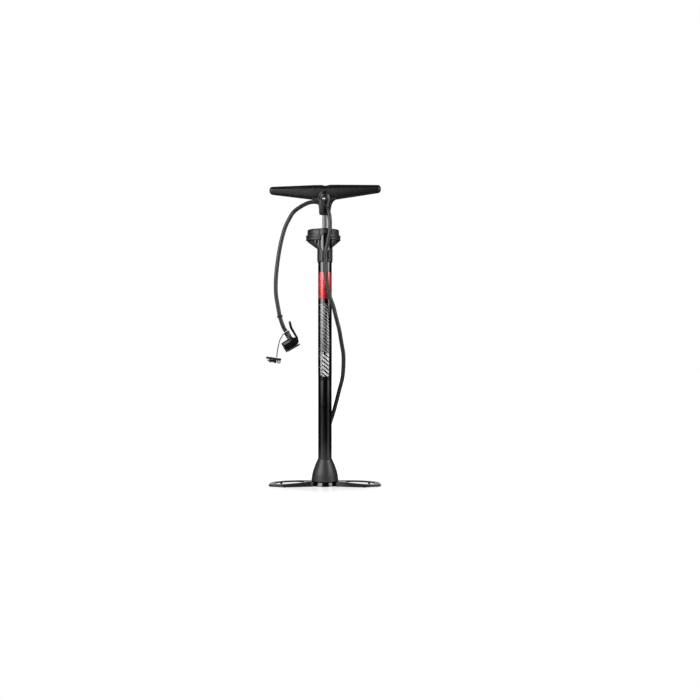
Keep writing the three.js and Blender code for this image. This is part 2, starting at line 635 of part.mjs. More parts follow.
function addGauge(pump) {
  const head = new THREE.Group();
  head.rotation.z = radians(HOUSING_TURN);
  pump.add(head);
  addMesh(head, 'gauge_housing', gaugeHousing(), greyPlastic);
  addMesh(head, 'clamp_screw', clampScrew(), zincSteel).position.set(0, CLAMP_SCREW_Y, CLAMP_SCREW_Z);
  const gauge = new THREE.Group();
  gauge.position.y = GAUGE_Y;
  head.add(gauge);
  const [movementBottom, movementTop] = MOVEMENT_Z;
  addMesh(gauge, 'gauge_movement', disc(MOVEMENT_R, movementBottom, movementTop, 28), brass);
  addMesh(gauge, 'gauge_dial', disc(DIAL_R, ...DIAL_Z, 28), dialWhite);
  addMesh(gauge, 'gauge_needle', gaugeNeedle(), needleRed);
  addMesh(gauge, 'gauge_lens', disc(DIAL_R, ...LENS_Z, 28), clearLens);
  addMesh(gauge, 'gauge_bezel', gaugeBezel(), blackGloss);
}

// ---- Rod guide, rod and piston ----

function topCap() {
  return turned([[BUSHING_R + GAP, CAP_Z[0]], [CAP_SPIGOT_R, CAP_Z[0]], [CAP_SPIGOT_R, CAP_FLANGE_BOTTOM],
    [CAP_R, CAP_FLANGE_BOTTOM], [CAP_R, CAP_Z[1]], [BUSHING_R + GAP, CAP_Z[1]]], 28);
}

function rodBushing() {
  const [bottom, top] = BUSHING_Z;
  const flangeBottom = CAP_Z[1] + GAP;
  return turned([[ROD_HOLE_R, bottom], [BUSHING_R, bottom], [BUSHING_R, flangeBottom],
    [BUSHING_R + 1.8, flangeBottom], [BUSHING_R + 1.8, top], [ROD_HOLE_R, top]], 24);
}

function cupSeal() {
  const outer = CYLINDER_BORE_R - 0.2;
  return turned([[ROD_TAIL_R + GAP, 57.6], [outer - 2, 57.6], [outer - 0.9, 54.4], [outer, 54.4],
    [outer, 58.6], [outer - 1, 59.7], [ROD_TAIL_R + GAP, 59.7]], 28);
}

function pistonRod() {
  return turned([[0, ROD_TAIL_BOTTOM], [ROD_TAIL_R, ROD_TAIL_BOTTOM], [ROD_TAIL_R, ROD_Z[0]],
    [ROD_R, ROD_Z[0]], [ROD_R, ROD_Z[1] - 0.8], [ROD_R - 0.8, ROD_Z[1]], [0, ROD_Z[1]]], 24);
}

function addRodGuide(pump) {
  addMesh(pump, 'top_cap', topCap(), castAlloy);
  addMesh(pump, 'rod_bushing', rodBushing(), acetal);
  const wiper = turned([[ROD_HOLE_R, WIPER_Z[0]], [WIPER_R, WIPER_Z[0]], [WIPER_R, 566.2],
    [ROD_HOLE_R + 0.6, WIPER_Z[1]], [ROD_HOLE_R, WIPER_Z[1]]], 24);
  addMesh(pump, 'rod_wiper', wiper, blackRubber);
  addMesh(pump, 'top_bumper', ring(9.6, ROD_HOLE_R + 0.4, ...BUMPER_Z, 20), blackRubber);
}

function addPiston(pump) {
  const rodEye = ROD_TAIL_R + GAP;
  addMesh(pump, 'piston_rod', pistonRod(), chrome).rotation.z = radians(HANDLE_TURN);
  addMesh(pump, 'piston_head', ring(CYLINDER_BORE_R - 0.4, rodEye, 60, 65.7, 28), acetal);
  addMesh(pump, 'cup_seal', cupSeal(), blackRubber);
  addMesh(pump, 'piston_washer', ring(7.4, rodEye, 55.7, 57.3, 24), zincSteel);
  const nut = subtract(disc(6.4, 50.4, 55.4, 6), disc(rodEye, 49, 57, 20));
  addMesh(pump, 'piston_nut', nut, zincSteel);
}

// ---- Handle and hose hook ----

function handleSection(x) {
  const away = Math.abs(x);
  const taper = THREE.MathUtils.clamp((away - HANDLE_ROOT_X) / (HANDLE_HALF - HANDLE_ROOT_X), 0, 1);
  const mix = (key) => THREE.MathUtils.lerp(HANDLE_ROOT[key], HANDLE_TIP[key], taper);
  const fromSaddle = Math.min(1, Math.abs(x - SADDLE.x) / SADDLE.half);
  const top = mix('top') - SADDLE.depth * (0.5 + 0.5 * Math.cos(Math.PI * fromSaddle));
  const short = Math.max(0, HANDLE_END_R - (HANDLE_HALF - away)) / HANDLE_END_R;
  const shrink = 0.3 + 0.7 * Math.sqrt(1 - short * short);
  const middle = (mix('bottom') + top) / 2;
  const points = [];
  const count = 14;
  for (let i = 0; i < count; i += 1) {
    const angle = (2 * Math.PI * i) / count;
    const flat = (value) => Math.sign(value) * Math.abs(value) ** 0.78;
    const y = mix('half') * shrink * flat(Math.cos(angle));
    const z = middle + ((top - mix('bottom')) / 2) * shrink * flat(Math.sin(angle));
    points.push(new THREE.Vector3(x, y, z));
  }
  return points;
}

function handleBar() {
  const half = [12, HANDLE_ROOT_X, 58, 91, 118, 121, 123, HANDLE_HALF];
  const stations = [...half.map((x) => -x).reverse(), -4, 2, 6, ...half];
  return loft(stations.map(handleSection));
}

function handleGusset() {
  const shape = new THREE.Shape();
  const foot = 607;
  const wingZ = HANDLE_ROOT.bottom + 5;
  shape.moveTo(-STEM_R + 1, foot);
  shape.lineTo(STEM_R - 1, foot);
  shape.quadraticCurveTo(STEM_R + 1.5, wingZ - 6, HANDLE_ROOT_X + 8, wingZ - 2.4);
  shape.lineTo(HANDLE_ROOT_X + 8, wingZ + 8);
  shape.lineTo(-HANDLE_ROOT_X - 8, wingZ + 8);
  shape.lineTo(-HANDLE_ROOT_X - 8, wingZ - 2.4);
  shape.quadraticCurveTo(-STEM_R - 1.5, wingZ - 6, -STEM_R + 1, foot);
  return slab(shape, -GUSSET_HALF, GUSSET_HALF);
}

function handle() {
  const stem = turned([[0, STEM_BOTTOM], [STEM_R - 0.8, STEM_BOTTOM], [STEM_R, STEM_BOTTOM + 0.8],
    [STEM_R, 616], [DOME_R - 0.6, 627], [DOME_R, 632], [DOME_R, 638], [DOME_R - 1.6, 644],
    [DOME_R - 5, 648.6], [DOME_R - 9, 650.4], [0, 651]], 32);
  const pad = alongY(disc(HOOK_BOSS_R, PAD_FRONT, -4, 28)).translate(HOOK_X, 0, HOOK_Z);
  const socket = disc(ROD_R + GAP, STEM_BOTTOM - EPS, ROD_Z[1] + GAP, 28);
  const pinHole = alongY(disc(2.3, -9.6, STEM_R + EPS, 16)).translate(0, 0, HANDLE_PIN_Z);
  const rivetHole = alongY(disc(RIVET_R + GAP, PAD_FRONT - EPS, -7, 16)).translate(HOOK_X, 0, HOOK_Z);
  return subtract(union(handleBar(), stem, handleGusset(), pad), socket, pinHole, rivetHole);
}

function hoseHook() {
  const [left, right] = HOOK_TAB_X;
  const [front, back] = HOOK_TAB_Y;
  const boss = alongY(disc(HOOK_BOSS_R, front, PAD_FRONT - GAP, 28)).translate(HOOK_X, 0, HOOK_Z);
  const shape = new THREE.Shape();
  shape.moveTo(left + 5, STEM_BOTTOM);
  shape.lineTo(right - 1, STEM_BOTTOM);
  shape.quadraticCurveTo(right, STEM_BOTTOM, right, STEM_BOTTOM + 1);
  shape.lineTo(right + 2.5, HOOK_Z);
  shape.lineTo(HOOK_X - HOOK_BOSS_R + 0.2, HOOK_Z);
  shape.lineTo(left, HOOK_Z - 12);
  shape.lineTo(left, STEM_BOTTOM + 5);
  shape.quadraticCurveTo(left, STEM_BOTTOM, left + 5, STEM_BOTTOM);
  const hole = disc(RIVET_R + GAP, front - EPS, PAD_FRONT + EPS, 16);
  const rivetHole = alongY(hole).translate(HOOK_X, 0, HOOK_Z);
  return subtract(union(boss, slab(shape, front, back)), rivetHole);
}

function hookRivet() {
  const front = HOOK_TAB_Y[0] - GAP;
  const profile = [[0, front - 1.6], [1.8, front - 1.3], [3, front - 0.4], [3, front], [RIVET_R, front],
    [RIVET_R, -7.6], [0, -7.6]];
  return alongY(turned(profile, 20)).translate(HOOK_X, 0, HOOK_Z);
}

function addHandle(pump) {
  const grip = new THREE.Group();
  grip.rotation.z = radians(HANDLE_TURN);
  pump.add(grip);
  addMesh(grip, 'handle', handle(), blackSatin);
  addMesh(grip, 'hose_hook', hoseHook(), blackSatin);
  addMesh(grip, 'hook_rivet', hookRivet(), zincSteel);
  addMesh(grip, 'handle_pin', alongY(disc(1.9, ROD_R + 0.4, STEM_R - 0.4, 14)), zincSteel)
    .position.set(0, 0, HANDLE_PIN_Z);
}

// ---- Hose, chuck and adapters ----

function addHose(pump) {
  const run = curveThrough(HOSE_ROUTE);
  addMesh(pump, 'hose', tube(run, HOSE_R, 8, HOSE_STEPS), hoseRubber);
  const band = turned([[HOSE_R + GAP, -2.6], [5.6, -2.6], [6.1, -2], [6.1, 2], [5.6, 2.6],
    [HOSE_R + GAP, 2.6]], 20);
  const sleeve = addMesh(pump, 'hose_ring', band, blackSatin);
  sleeve.position.copy(run.getPointAt(RING_ALONG));
  const up = new THREE.Vector3(0, 0, 1);
  sleeve.quaternion.setFromUnitVectors(up, run.getTangentAt(RING_ALONG).negate());
}

// A disc across Y, centred on the lever's pivot.
const pivotDisc = (r, y0, y1, segments = 24) =>
  alongY(disc(r, y0, y1, segments)).translate(PIVOT[0], 0, PIVOT[1]);

function chuckBody() {
  const [front, back] = CHUCK.x;
  const { half, depth } = CHUCK;
  const section = softCorners([[-half, -depth], [half, -depth], [half, depth], [-half, depth]], 7.5);
  const shell = prism(section, front, back).rotateY(Math.PI / 2);
  const tongue = pivotDisc(TONGUE_R, -TONGUE_HALF, TONGUE_HALF);
  const neck = disc(6, 8, 14, 24).translate(NECK_X, 0, 0);
  const heel = slab(softCorners(HEEL, 0.4), -7, 7);
  const bore = alongX(disc(CHUCK.boreR, front - EPS, CHUCK.boreEnd, 24));
  const airWay = disc(2, 0, 15, 14).translate(NECK_X, 0, 0);
  const earRooms = [pivotDisc(EAR_R + 0.5, TONGUE_HALF, 12), pivotDisc(EAR_R + 0.5, -12, -TONGUE_HALF)];
  const pinHole = pivotDisc(PIVOT_HOLE_R, -5, 5, 16);
  return subtract(union(shell, tongue, neck, heel), bore, airWay, ...earRooms, pinHole);
}

function chuckLever() {
  const ears = [pivotDisc(EAR_R, ...EAR_Y), pivotDisc(EAR_R, -EAR_Y[1], -EAR_Y[0])];
  const blade = slab(softCorners(LEVER_SIDE, 2), -EAR_Y[1], EAR_Y[1]);
  const room = pivotDisc(TONGUE_R + 0.6, -EAR_Y[0], EAR_Y[0]);
  return subtract(union(...ears, blade), room, pivotDisc(PIVOT_HOLE_R, -9, 9, 16));
}

function chuckPlunger() {
  return alongX(turned([[0, 16], [5.9, 16], [5.9, 19], [2.2, 19], [2.2, 22], [0, 22]], 24));
}

function chuckNut() {
  const points = [[2.4, 14.3], [5.4, 14.3], [6, 15]];
  for (let z = 16.5; z < 22; z += 4) points.push([6, z], [5.5, z + 0.6], [5.5, z + 1.8], [6, z + 2.4]);
  points.push([6, 27], [5, 28], [2.4, 28]);
  return turned(points, 16);
}

function addChuck(pump) {
  const chuck = new THREE.Group();
  chuck.position.set(...CHUCK_PLACE);
  chuck.rotation.y = radians(CHUCK_TILT);
  pump.add(chuck);
  const collar = turned([[5.2, 0], [11, 0], [11.8, 0.8], [11.8, 2.7], [5.2, 2.7]], 24);
  addMesh(chuck, 'chuck_body', chuckBody(), blackGloss);
  addMesh(chuck, 'chuck_end_collar', alongX(collar), blackGloss);
  addMesh(chuck, 'chuck_grommet', alongX(ring(6.2, 3.8, 3.3, 14, 24)), blackRubber);
  addMesh(chuck, 'chuck_plunger', chuckPlunger(), acetal);
  addMesh(chuck, 'chuck_nut', chuckNut(), blackGloss).position.x = NECK_X;
  addMesh(chuck, 'chuck_lever', chuckLever(), blackGloss);
  addMesh(chuck, 'lever_pin', pivotDisc(PIVOT_R, -8.6, 8.6, 16), chrome);
  addMesh(chuck, 'lanyard_ring', ring(7.4, 6.3, 24.6, 27, 24), hoseRubber).position.x = NECK_X;
}

function adapterHolder() {
  const { half, thick, depth } = HOLDER;
  const section = softCorners([[-half, -thick], [half, -thick], [half, thick], [-half, thick]], 1.6);
  const bar = slab(section, -depth, depth);
  const clips = [-7, 4].map((x) => alongX(ring(4.1, 3.4, -1.6, 1.6, 14)).translate(x, 0, ADAPTER_DROP));
  const nib = alongY(ring(4.1, 3.2, -1.6, 1.6, 14)).translate(12, 0, ADAPTER_DROP + 0.2);
  return union(bar, ...clips, nib);
}

function coneAdapter() {
  return alongX(turned([[1, -13], [1.6, -13], [3, -4], [3, 5], [2.4, 5], [2.4, 7], [1, 7]], 14));
}

function ballNeedle() {
  return alongX(turned([[0, -14], [0.9, -13.4], [0.9, 6], [2.3, 7], [2.3, 12], [0, 12]], 14));
}

function addAdapters(pump) {
  const holder = new THREE.Group();
  holder.position.set(...HOLDER_PLACE);
  holder.rotation.y = radians(HOLDER_TILT);
  pump.add(holder);
  addMesh(holder, 'adapter_holder', adapterHolder(), blackSatin);
  addMesh(holder, 'cone_adapter', coneAdapter(), blackGloss).position.z = ADAPTER_DROP;
  addMesh(holder, 'ball_needle', ballNeedle(), zincSteel).position.set(0, 7, -1.4);
  addMesh(holder, 'presta_adapter', alongY(ring(2.9, 1.2, -4, 4, 18)), zincSteel)
    .position.set(12, 0, ADAPTER_DROP + 0.2);
  addMesh(pump, 'lanyard', tube(curveThrough(LANYARD_ROUTE), LANYARD_R, 8, 14), hoseRubber);
}

// ---- Assembly ----

const pump = new THREE.Group();
addStand(pump);
addValve(pump);
addBarrel(pump);
addGauge(pump);
addRodGuide(pump);
addPiston(pump);
addHandle(pump);
addHose(pump);
addChuck(pump);
addAdapters(pump);

export default pump;
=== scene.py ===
"""Floor bike pump: the visual model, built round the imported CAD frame. Blender 4.5, metres."""
import json
from math import cos, pi, radians, sin, sqrt

import bmesh
import bpy
from mathutils import Matrix, Vector


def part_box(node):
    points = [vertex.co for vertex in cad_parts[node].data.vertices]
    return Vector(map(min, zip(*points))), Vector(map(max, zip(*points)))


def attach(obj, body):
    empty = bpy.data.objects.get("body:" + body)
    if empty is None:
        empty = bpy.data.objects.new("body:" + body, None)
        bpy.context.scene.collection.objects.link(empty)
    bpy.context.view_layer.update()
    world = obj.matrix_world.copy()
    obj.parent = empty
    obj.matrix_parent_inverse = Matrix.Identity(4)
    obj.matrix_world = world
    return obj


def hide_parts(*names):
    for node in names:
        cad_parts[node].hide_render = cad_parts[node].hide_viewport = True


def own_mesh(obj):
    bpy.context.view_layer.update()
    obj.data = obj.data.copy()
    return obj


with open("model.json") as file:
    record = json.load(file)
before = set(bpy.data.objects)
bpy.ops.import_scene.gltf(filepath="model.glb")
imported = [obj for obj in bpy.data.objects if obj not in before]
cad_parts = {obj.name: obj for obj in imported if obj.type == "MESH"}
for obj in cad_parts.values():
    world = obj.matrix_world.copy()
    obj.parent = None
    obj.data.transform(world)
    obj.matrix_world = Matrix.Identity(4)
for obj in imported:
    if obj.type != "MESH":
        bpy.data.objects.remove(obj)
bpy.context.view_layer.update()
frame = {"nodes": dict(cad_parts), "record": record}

MM = 0.001                     # the outlines below are in millimetres, as the CAD's are

# ---- Sizes, in millimetres and degrees; nearly all are the CAD's ----

ROUND = 96                     # sides of a large turned piece
SMALL_ROUND = 48
HOUSING_TURN = 10
HANDLE_TURN = -7
CHUCK_TILT = -30
HOLDER_TILT = 8
CHUCK_PLACE = (-89.5, -17.8, 303.4)
HOLDER_PLACE = (-111.6, -17.8, 280.3)
PIVOT = (28.5, 0, 0.5)
NECK_X = 22
DRUM_Y = 24
SLOT_X, SLOT_HALF = -1.6, 5.6
GAUGE_Y = 29.5
BARREL_R = 15
RED_BAND = (412, 469)
LABEL = (232, 411.8)
HOSE_D = 8.8
LANYARD_D = 2.2
OUTLET_Y = 36
ELBOW_D = 8.8
ROD_R = 5.5
DRUM_EDGE_R = 3.6              # tighter than the CAD's
HOOK_BOSS_R = 7.4
HOOK_NECK_R = 6.1              # behind the tab, slimmer than the CAD's to clear the hose as the handle turns
PAD_FRONT = -15.4
SPRING_R, SPRING_WIRE, SPRING_TURNS = 2.4, 0.7, 4
SPRING_Z = (19.3, 24.9)

HOSE_ROUTE = [
    (0, 36, 51.8), (0.6, 36, 70), (3.5, 34, 98), (10.2, 29, 134), (17.8, 25.5, 158),
    (25.1, 22, 185), (31.7, 17, 211), (38.3, 11, 237), (40.7, 4, 264), (40.5, -3, 290),
    (36.1, -10, 317), (31.7, -15, 343), (25.1, -18.5, 369), (18.3, -20.5, 396), (12, -21, 413),
    (5.3, -21, 442), (2.8, -20.6, 471), (1.9, -20.1, 493), (1.9, -20, 510), (2.5, -20, 519),
    (5.6, -20.4, 528), (8, -21.2, 541), (10.9, -21.6, 559), (11.5, -21, 579), (9.4, -19.6, 597),
    (3.2, -18.3, 611),
    (-8, -17.9, 619.2), (-22, -17.8, 622.6), (-37, -17.8, 620.2),
    (-66.5, -17.8, 602), (-78, -17.8, 585), (-87, -17.8, 565.5), (-95.5, -17.8, 535),
    (-101, -17.8, 505), (-105, -17.8, 475), (-107, -17.8, 449), (-106.6, -17.8, 422),
    (-102.7, -17.8, 396), (-97.4, -17.8, 370), (-90.2, -17.8, 348.6), (-84.9, -17.8, 339.43)]
LANYARD_ROUTE = [
    (-90.4, -17.8, 334.6), (-94.2, -17.8, 327.6), (-98.2, -17.8, 320.4), (-101.4, -17.8, 308.4),
    (-103.7, -17.8, 295), (-105.1, -17.8, 283)]


# ---- Camera: the photograph's, level with the barrel's middle and a little to its right ----

def add_camera():
    data = bpy.data.cameras.new("camera")
    data.lens = 58.4
    data.sensor_width = 36
    data.clip_end = 50
    camera = bpy.data.objects.new("camera", data)
    camera.location = (0.0552, -2.5, 0.299)
    camera.rotation_euler = (pi / 2, 0, 0)
    bpy.context.scene.collection.objects.link(camera)
    bpy.context.scene.camera = camera


# ---- Materials ----

class Surface:
    """A procedural material on one Principled shader, in the object's own coordinates."""

    def __init__(self, name, **constants):
        self.material = bpy.data.materials.new(name)
        self.material.use_nodes = True
        self.tree = self.material.node_tree
        self.shader = self.tree.nodes["Principled BSDF"]
        self.normal = None
        coords = self.tree.nodes.new("ShaderNodeTexCoord")
        scale = self.tree.nodes.new("ShaderNodeVectorMath")
        scale.operation = "SCALE"
        scale.inputs["Scale"].default_value = 1000
        self.link(coords.outputs["Object"], scale.inputs[0])
        self.point = scale.outputs[0]
        for socket, value in constants.items():
            self.shader.inputs[socket.replace("_", " ")].default_value = value

    def link(self, output, target):
        self.tree.links.new(output, target)

    def stretch(self, x, y, z):
        """The point in millimetres, multiplied by a factor on each axis."""
        node = self.tree.nodes.new("ShaderNodeVectorMath")
        node.operation = "MULTIPLY"
        node.inputs[1].default_value = (x, y, z)
        self.link(self.point, node.inputs[0])
        return node.outputs[0]

    def noise(self, scale, detail=3, roughness=0.55, vector=None):
        """Noise with about `scale` features to a millimetre."""
        node = self.tree.nodes.new("ShaderNodeTexNoise")
        node.inputs["Scale"].default_value = scale
        node.inputs["Detail"].default_value = detail
        node.inputs["Roughness"].default_value = roughness
        self.link(vector or self.point, node.inputs["Vector"])
        return node.outputs["Fac"]

    def cells(self, scale):
        node = self.tree.nodes.new("ShaderNodeTexVoronoi")
        node.inputs["Scale"].default_value = scale
        self.link(self.point, node.inputs["Vector"])
        return node.outputs["Distance"]

    def calc(self, operation, a, b=0.0, c=0.0):
        node = self.tree.nodes.new("ShaderNodeMath")
        node.operation = operation
        for socket, value in zip(node.inputs, (a, b, c)):
            if isinstance(value, (int, float)):
                socket.default_value = value
            else:
                self.link(value, socket)
        return node.outputs[0]

    def spread(self, factor, low, high, start=0.3, end=0.7):
        """A factor's range from start to end, mapped to low to high."""
        node = self.tree.nodes.new("ShaderNodeMapRange")
        self.link(factor, node.inputs["Value"])
        for key, value in (("From Min", start), ("From Max", end), ("To Min", low), ("To Max", high)):
            node.inputs[key].default_value = value
        return node.outputs[0]

    def mix(self, factor, first, second):
        node = self.tree.nodes.new("ShaderNodeMix")
        node.data_type = "RGBA"
        self.link(factor, node.inputs["Factor"])
        for index, value in ((6, first), (7, second)):
            if isinstance(value, tuple):
                node.inputs[index].default_value = (*value, 1)
            else:
                self.link(value, node.inputs[index])
        return node.outputs[2]

    def color(self, output):
        self.link(output, self.shader.inputs["Base Color"])

    def roughness(self, output):
        self.link(output, self.shader.inputs["Roughness"])

    def metallic(self, output):
        self.link(output, self.shader.inputs["Metallic"])

    def bump(self, height, distance_mm, strength=1.0):
        """Adds a relief of the given depth on top of those before it."""
        node = self.tree.nodes.new("ShaderNodeBump")
        node.inputs["Strength"].default_value = strength
        node.inputs["Distance"].default_value = distance_mm * MM
        self.link(height, node.inputs["Height"])
        if self.normal:
            self.link(self.normal, node.inputs["Normal"])
        self.normal = node.outputs["Normal"]
        self.link(self.normal, self.shader.inputs["Normal"])

    def axis(self, name):
        node = self.tree.nodes.new("ShaderNodeSeparateXYZ")
        self.link(self.point, node.inputs[0])
        return node.outputs[name]

    def worn_edge(self, low=0.52, high=0.6):
        """1 on convex edges and 0 on flats, broken up by noise."""
        node = self.tree.nodes.new("ShaderNodeNewGeometry")
        edge = self.spread(node.outputs["Pointiness"], 0, 1, low, high)
        return self.calc("MULTIPLY", edge, self.spread(self.noise(0.6), 0, 1, 0.4, 0.6))


def gloss_paint(name, color, coat=0.5):
    s = Surface(name, Coat_Weight=coat, Coat_Roughness=0.04, Specular_IOR_Level=0.35)
    tint = tuple(c * 1.5 for c in color)
    s.color(s.mix(s.spread(s.noise(0.05), 0, 1), color, tint))
    s.roughness(s.spread(s.noise(0.12, 5), 0.1, 0.18))
    s.bump(s.noise(0.35, 2), 0.012)
    s.bump(s.noise(4, 2), 0.002)
    return s


def moulded(name, color, rough, grain_mm=0.45, depth_mm=0.03, coat=0.0):
    """Moulded plastic with an etched grain, slight flow marks and rubbed edges."""
    s = Surface(name, Specular_IOR_Level=0.4, Coat_Weight=coat, Coat_Roughness=0.15)
    tint = tuple(c * 1.35 + 0.001 for c in color)
    rubbed = tuple(c * 2.2 + 0.004 for c in color)
    base = s.mix(s.spread(s.noise(0.08, 4), 0, 1), color, tint)
    s.color(s.mix(s.calc("MULTIPLY", s.worn_edge(), 0.6), base, rubbed))
    s.roughness(s.spread(s.noise(0.25, 4), rough - 0.05, rough + 0.07))
    s.bump(s.cells(1 / grain_mm), depth_mm, 0.7)
    s.bump(s.noise(0.1, 2), 0.05)
    return s


def rubber(name, color, rough=0.6, streaks=(1, 1, 1)):
    s = Surface(name, Specular_IOR_Level=0.4, Sheen_Weight=0.08, Sheen_Roughness=0.5)
    tint = tuple(c * 1.6 + 0.004 for c in color)
    s.color(s.mix(s.spread(s.noise(0.15, 5), 0, 1), color, tint))
    s.roughness(s.spread(s.noise(0.5, 5, vector=s.stretch(*streaks)), rough - 0.08, rough + 0.1))
    s.bump(s.noise(3, 4, vector=s.stretch(*streaks)), 0.02)
    return s


def bare_metal(name, color, rough, streaks=(0.2, 0.2, 4), depth_mm=0.004):
    """Metal with fine machining lines; the streaks' large factor is across the lines."""
    s = Surface(name, Metallic=1.0)
    lines = s.noise(1.5, 6, 0.7, s.stretch(*streaks))
    tint = tuple(c * 0.86 for c in color)
    s.color(s.mix(s.spread(s.noise(0.2, 4), 0, 1), color, tint))
    s.roughness(s.spread(lines, rough * 0.75, rough * 1.35))
    s.bump(lines, depth_mm)
    return s


def lens_glass(name):
    s = Surface(name, Transmission_Weight=1.0, IOR=1.49)
    s.color(s.mix(s.spread(s.noise(0.05), 0, 1), (0.96, 0.98, 0.985), (0.99, 0.995, 1)))
    s.roughness(s.spread(s.noise(0.3, 4), 0.01, 0.05))
    return s


def label_print(name):
    """Black vinyl printed in silver on the front: fine dashes, and slanted bars beside them."""
    s = Surface(name, Coat_Weight=0.3, Coat_Roughness=0.08)
    x, y, z = s.axis("X"), s.axis("Y"), s.axis("Z")
    turn = s.calc("MULTIPLY", s.calc("ARCTAN2", x, s.calc("MULTIPLY", y, -1)), BARREL_R)

    def within(value, low, high):
        return s.calc("MULTIPLY", s.calc("GREATER_THAN", value, low), s.calc("LESS_THAN", value, high))

    def stripes(period, share):
        slant = s.calc("ADD", z, s.calc("MULTIPLY", turn, 0.8))
        return s.calc("GREATER_THAN", s.calc("FRACT", s.calc("DIVIDE", slant, period)), share)

    wide = within(turn, -5.2, 9.2)
    gaps = s.calc("GREATER_THAN", s.noise(0.5, 2), 0.42)
    upper = s.calc("MULTIPLY", s.calc("MULTIPLY", stripes(7.3, 0.4), gaps), within(z, 291, 401))
    lower = s.calc("MULTIPLY", s.calc("SUBTRACT", 1, stripes(9.1, 0.62)), within(z, 241, 291))
    big = s.calc("MULTIPLY", wide, s.calc("MAXIMUM", upper, lower))
    dashes = s.calc("MULTIPLY", s.calc("GREATER_THAN", s.calc("FRACT", s.calc("DIVIDE", z, 2.7)), 0.45),
                    s.calc("GREATER_THAN", s.noise(1.1, 1), 0.45))
    fine = s.calc("MULTIPLY", s.calc("MULTIPLY", dashes, within(turn, -11.4, -6.4)), within(z, 243, 400))
    ink = s.calc("MAXIMUM", big, fine)
    silver = s.mix(s.spread(z, 1, 0, 286, 296), (0.26, 0.26, 0.26), (0.7, 0.7, 0.69))
    ground = s.mix(s.spread(s.noise(0.1, 4), 0, 1), (0.002, 0.002, 0.002), (0.004, 0.004, 0.0042))
    s.color(s.mix(ink, ground, silver))
    s.roughness(s.spread(s.noise(0.2, 4), 0.16, 0.26))
    s.metallic(s.calc("MULTIPLY", ink, 0.3))
    s.bump(ink, 0.01)
    s.bump(s.noise(2, 3), 0.003)
    return s


def red_foil(name):
    """Red metallic film with a soft crinkle."""
    s = Surface(name, Coat_Weight=0.4, Coat_Roughness=0.06)
    crinkle = s.noise(0.16, 5, 0.65, s.stretch(1.2, 1.2, 0.7))
    s.color(s.mix(s.spread(crinkle, 0, 1, 0.35, 0.65), (0.36, 0.012, 0.018), (0.62, 0.05, 0.05)))
    s.roughness(s.spread(crinkle, 0.22, 0.38))
    s.metallic(s.spread(crinkle, 0.25, 0.5))
    s.bump(crinkle, 0.03)
    return s


SURFACES = {
    "black_paint": gloss_paint("black_paint", (0.002, 0.002, 0.0022)),
    "black_rubber": rubber("black_rubber", (0.008, 0.008, 0.0082), 0.7),
    "grey_plastic": moulded("grey_plastic", (0.02, 0.0203, 0.0215), 0.4, 0.5, 0.02),
    "zinc_steel": bare_metal("zinc_steel", (0.62, 0.63, 0.64), 0.28),
    "brass": bare_metal("brass", (0.62, 0.46, 0.2), 0.25),
    "black_satin_plastic": moulded("black_satin_plastic", (0.004, 0.004, 0.0042), 0.34, 0.6, 0.012),
    "drawn_alloy": bare_metal("drawn_alloy", (0.7, 0.71, 0.72), 0.3, (4, 4, 0.1)),
    "cast_alloy": bare_metal("cast_alloy", (0.5, 0.51, 0.52), 0.45, (1, 1, 1), 0.02),
    "dial_white": moulded("dial_white", (0.78, 0.78, 0.76), 0.6, 0.3, 0.004),
    "needle_red": gloss_paint("needle_red", (0.5, 0.02, 0.02), 0.2),
    "clear_lens": lens_glass("clear_lens"),
    "black_gloss_plastic": gloss_paint("black_gloss_plastic", (0.004, 0.004, 0.0042), 1.0),
    "acetal": moulded("acetal", (0.7, 0.69, 0.65), 0.4, 0.5, 0.006),
    "chrome": bare_metal("chrome", (0.085, 0.086, 0.089), 0.09, (0.3, 0.3, 3), 0.001),
    "hose_rubber": rubber("hose_rubber", (0.012, 0.012, 0.0122), 0.36, (2, 2, 0.3)),
}
LABEL_PRINT = label_print("label_print")
RED_FOIL = red_foil("red_foil")
DIAL_INK = moulded("dial_ink", (0.012, 0.012, 0.012), 0.5, 0.3, 0.002)

NODE_SLOTS = {part["node"]: part["material_slot"] for part in frame["record"]["subparts"]}


# ---- Mesh helpers: outlines in millimetres, meshes in metres ----

def at(place=(0, 0, 0), turn=0, tilt=0, lay="Z"):
    """A move in the row frame: a piece's own axis laid along X, Y or Z, tilted about Y, turned about Z."""
    lays = {"Z": Matrix.Identity(4), "X": Matrix.Rotation(pi / 2, 4, "Y"),
            "Y": Matrix.Rotation(-pi / 2, 4, "X")}
    move = Matrix.Translation(Vector(place) * MM)
    return move @ Matrix.Rotation(radians(turn), 4, "Z") @ Matrix.Rotation(radians(tilt), 4, "Y") @ lays[lay]


def finished(name, bm, sharp=32):
    """An object from a bmesh, smooth apart from its sharp edges."""
    bmesh.ops.remove_doubles(bm, verts=bm.verts, dist=1e-7)
    bmesh.ops.recalc_face_normals(bm, faces=bm.faces)
    for face in bm.faces:
        face.smooth = True
    for edge in bm.edges:
        edge.smooth = len(edge.link_faces) == 2 and edge.calc_face_angle(0) < radians(sharp)
    mesh = bpy.data.meshes.new(name)
    bm.to_mesh(mesh)
    bm.free()
    obj = bpy.data.objects.new(name, mesh)
    bpy.context.scene.collection.objects.link(obj)
    return obj


def eased(points, radius, closed=True, steps=5):
    """An outline with its corners turned into short arcs; an open one keeps its two ends."""
    out = []
    count = len(points)
    for i, here in enumerate(points):
        here = Vector(here)
        if not closed and i in (0, count - 1):
            out.append(here)
            continue
        before = Vector(points[i - 1])
        after = Vector(points[(i + 1) % count])
        enter = here.lerp(before, min(0.45, radius / max(1e-6, (here - before).length)))
        leave = here.lerp(after, min(0.45, radius / max(1e-6, (here - after).length)))
        for step in range(steps + 1):
            t = step / steps
            out.append(enter.lerp(here, t).lerp(here.lerp(leave, t), t))
    return out


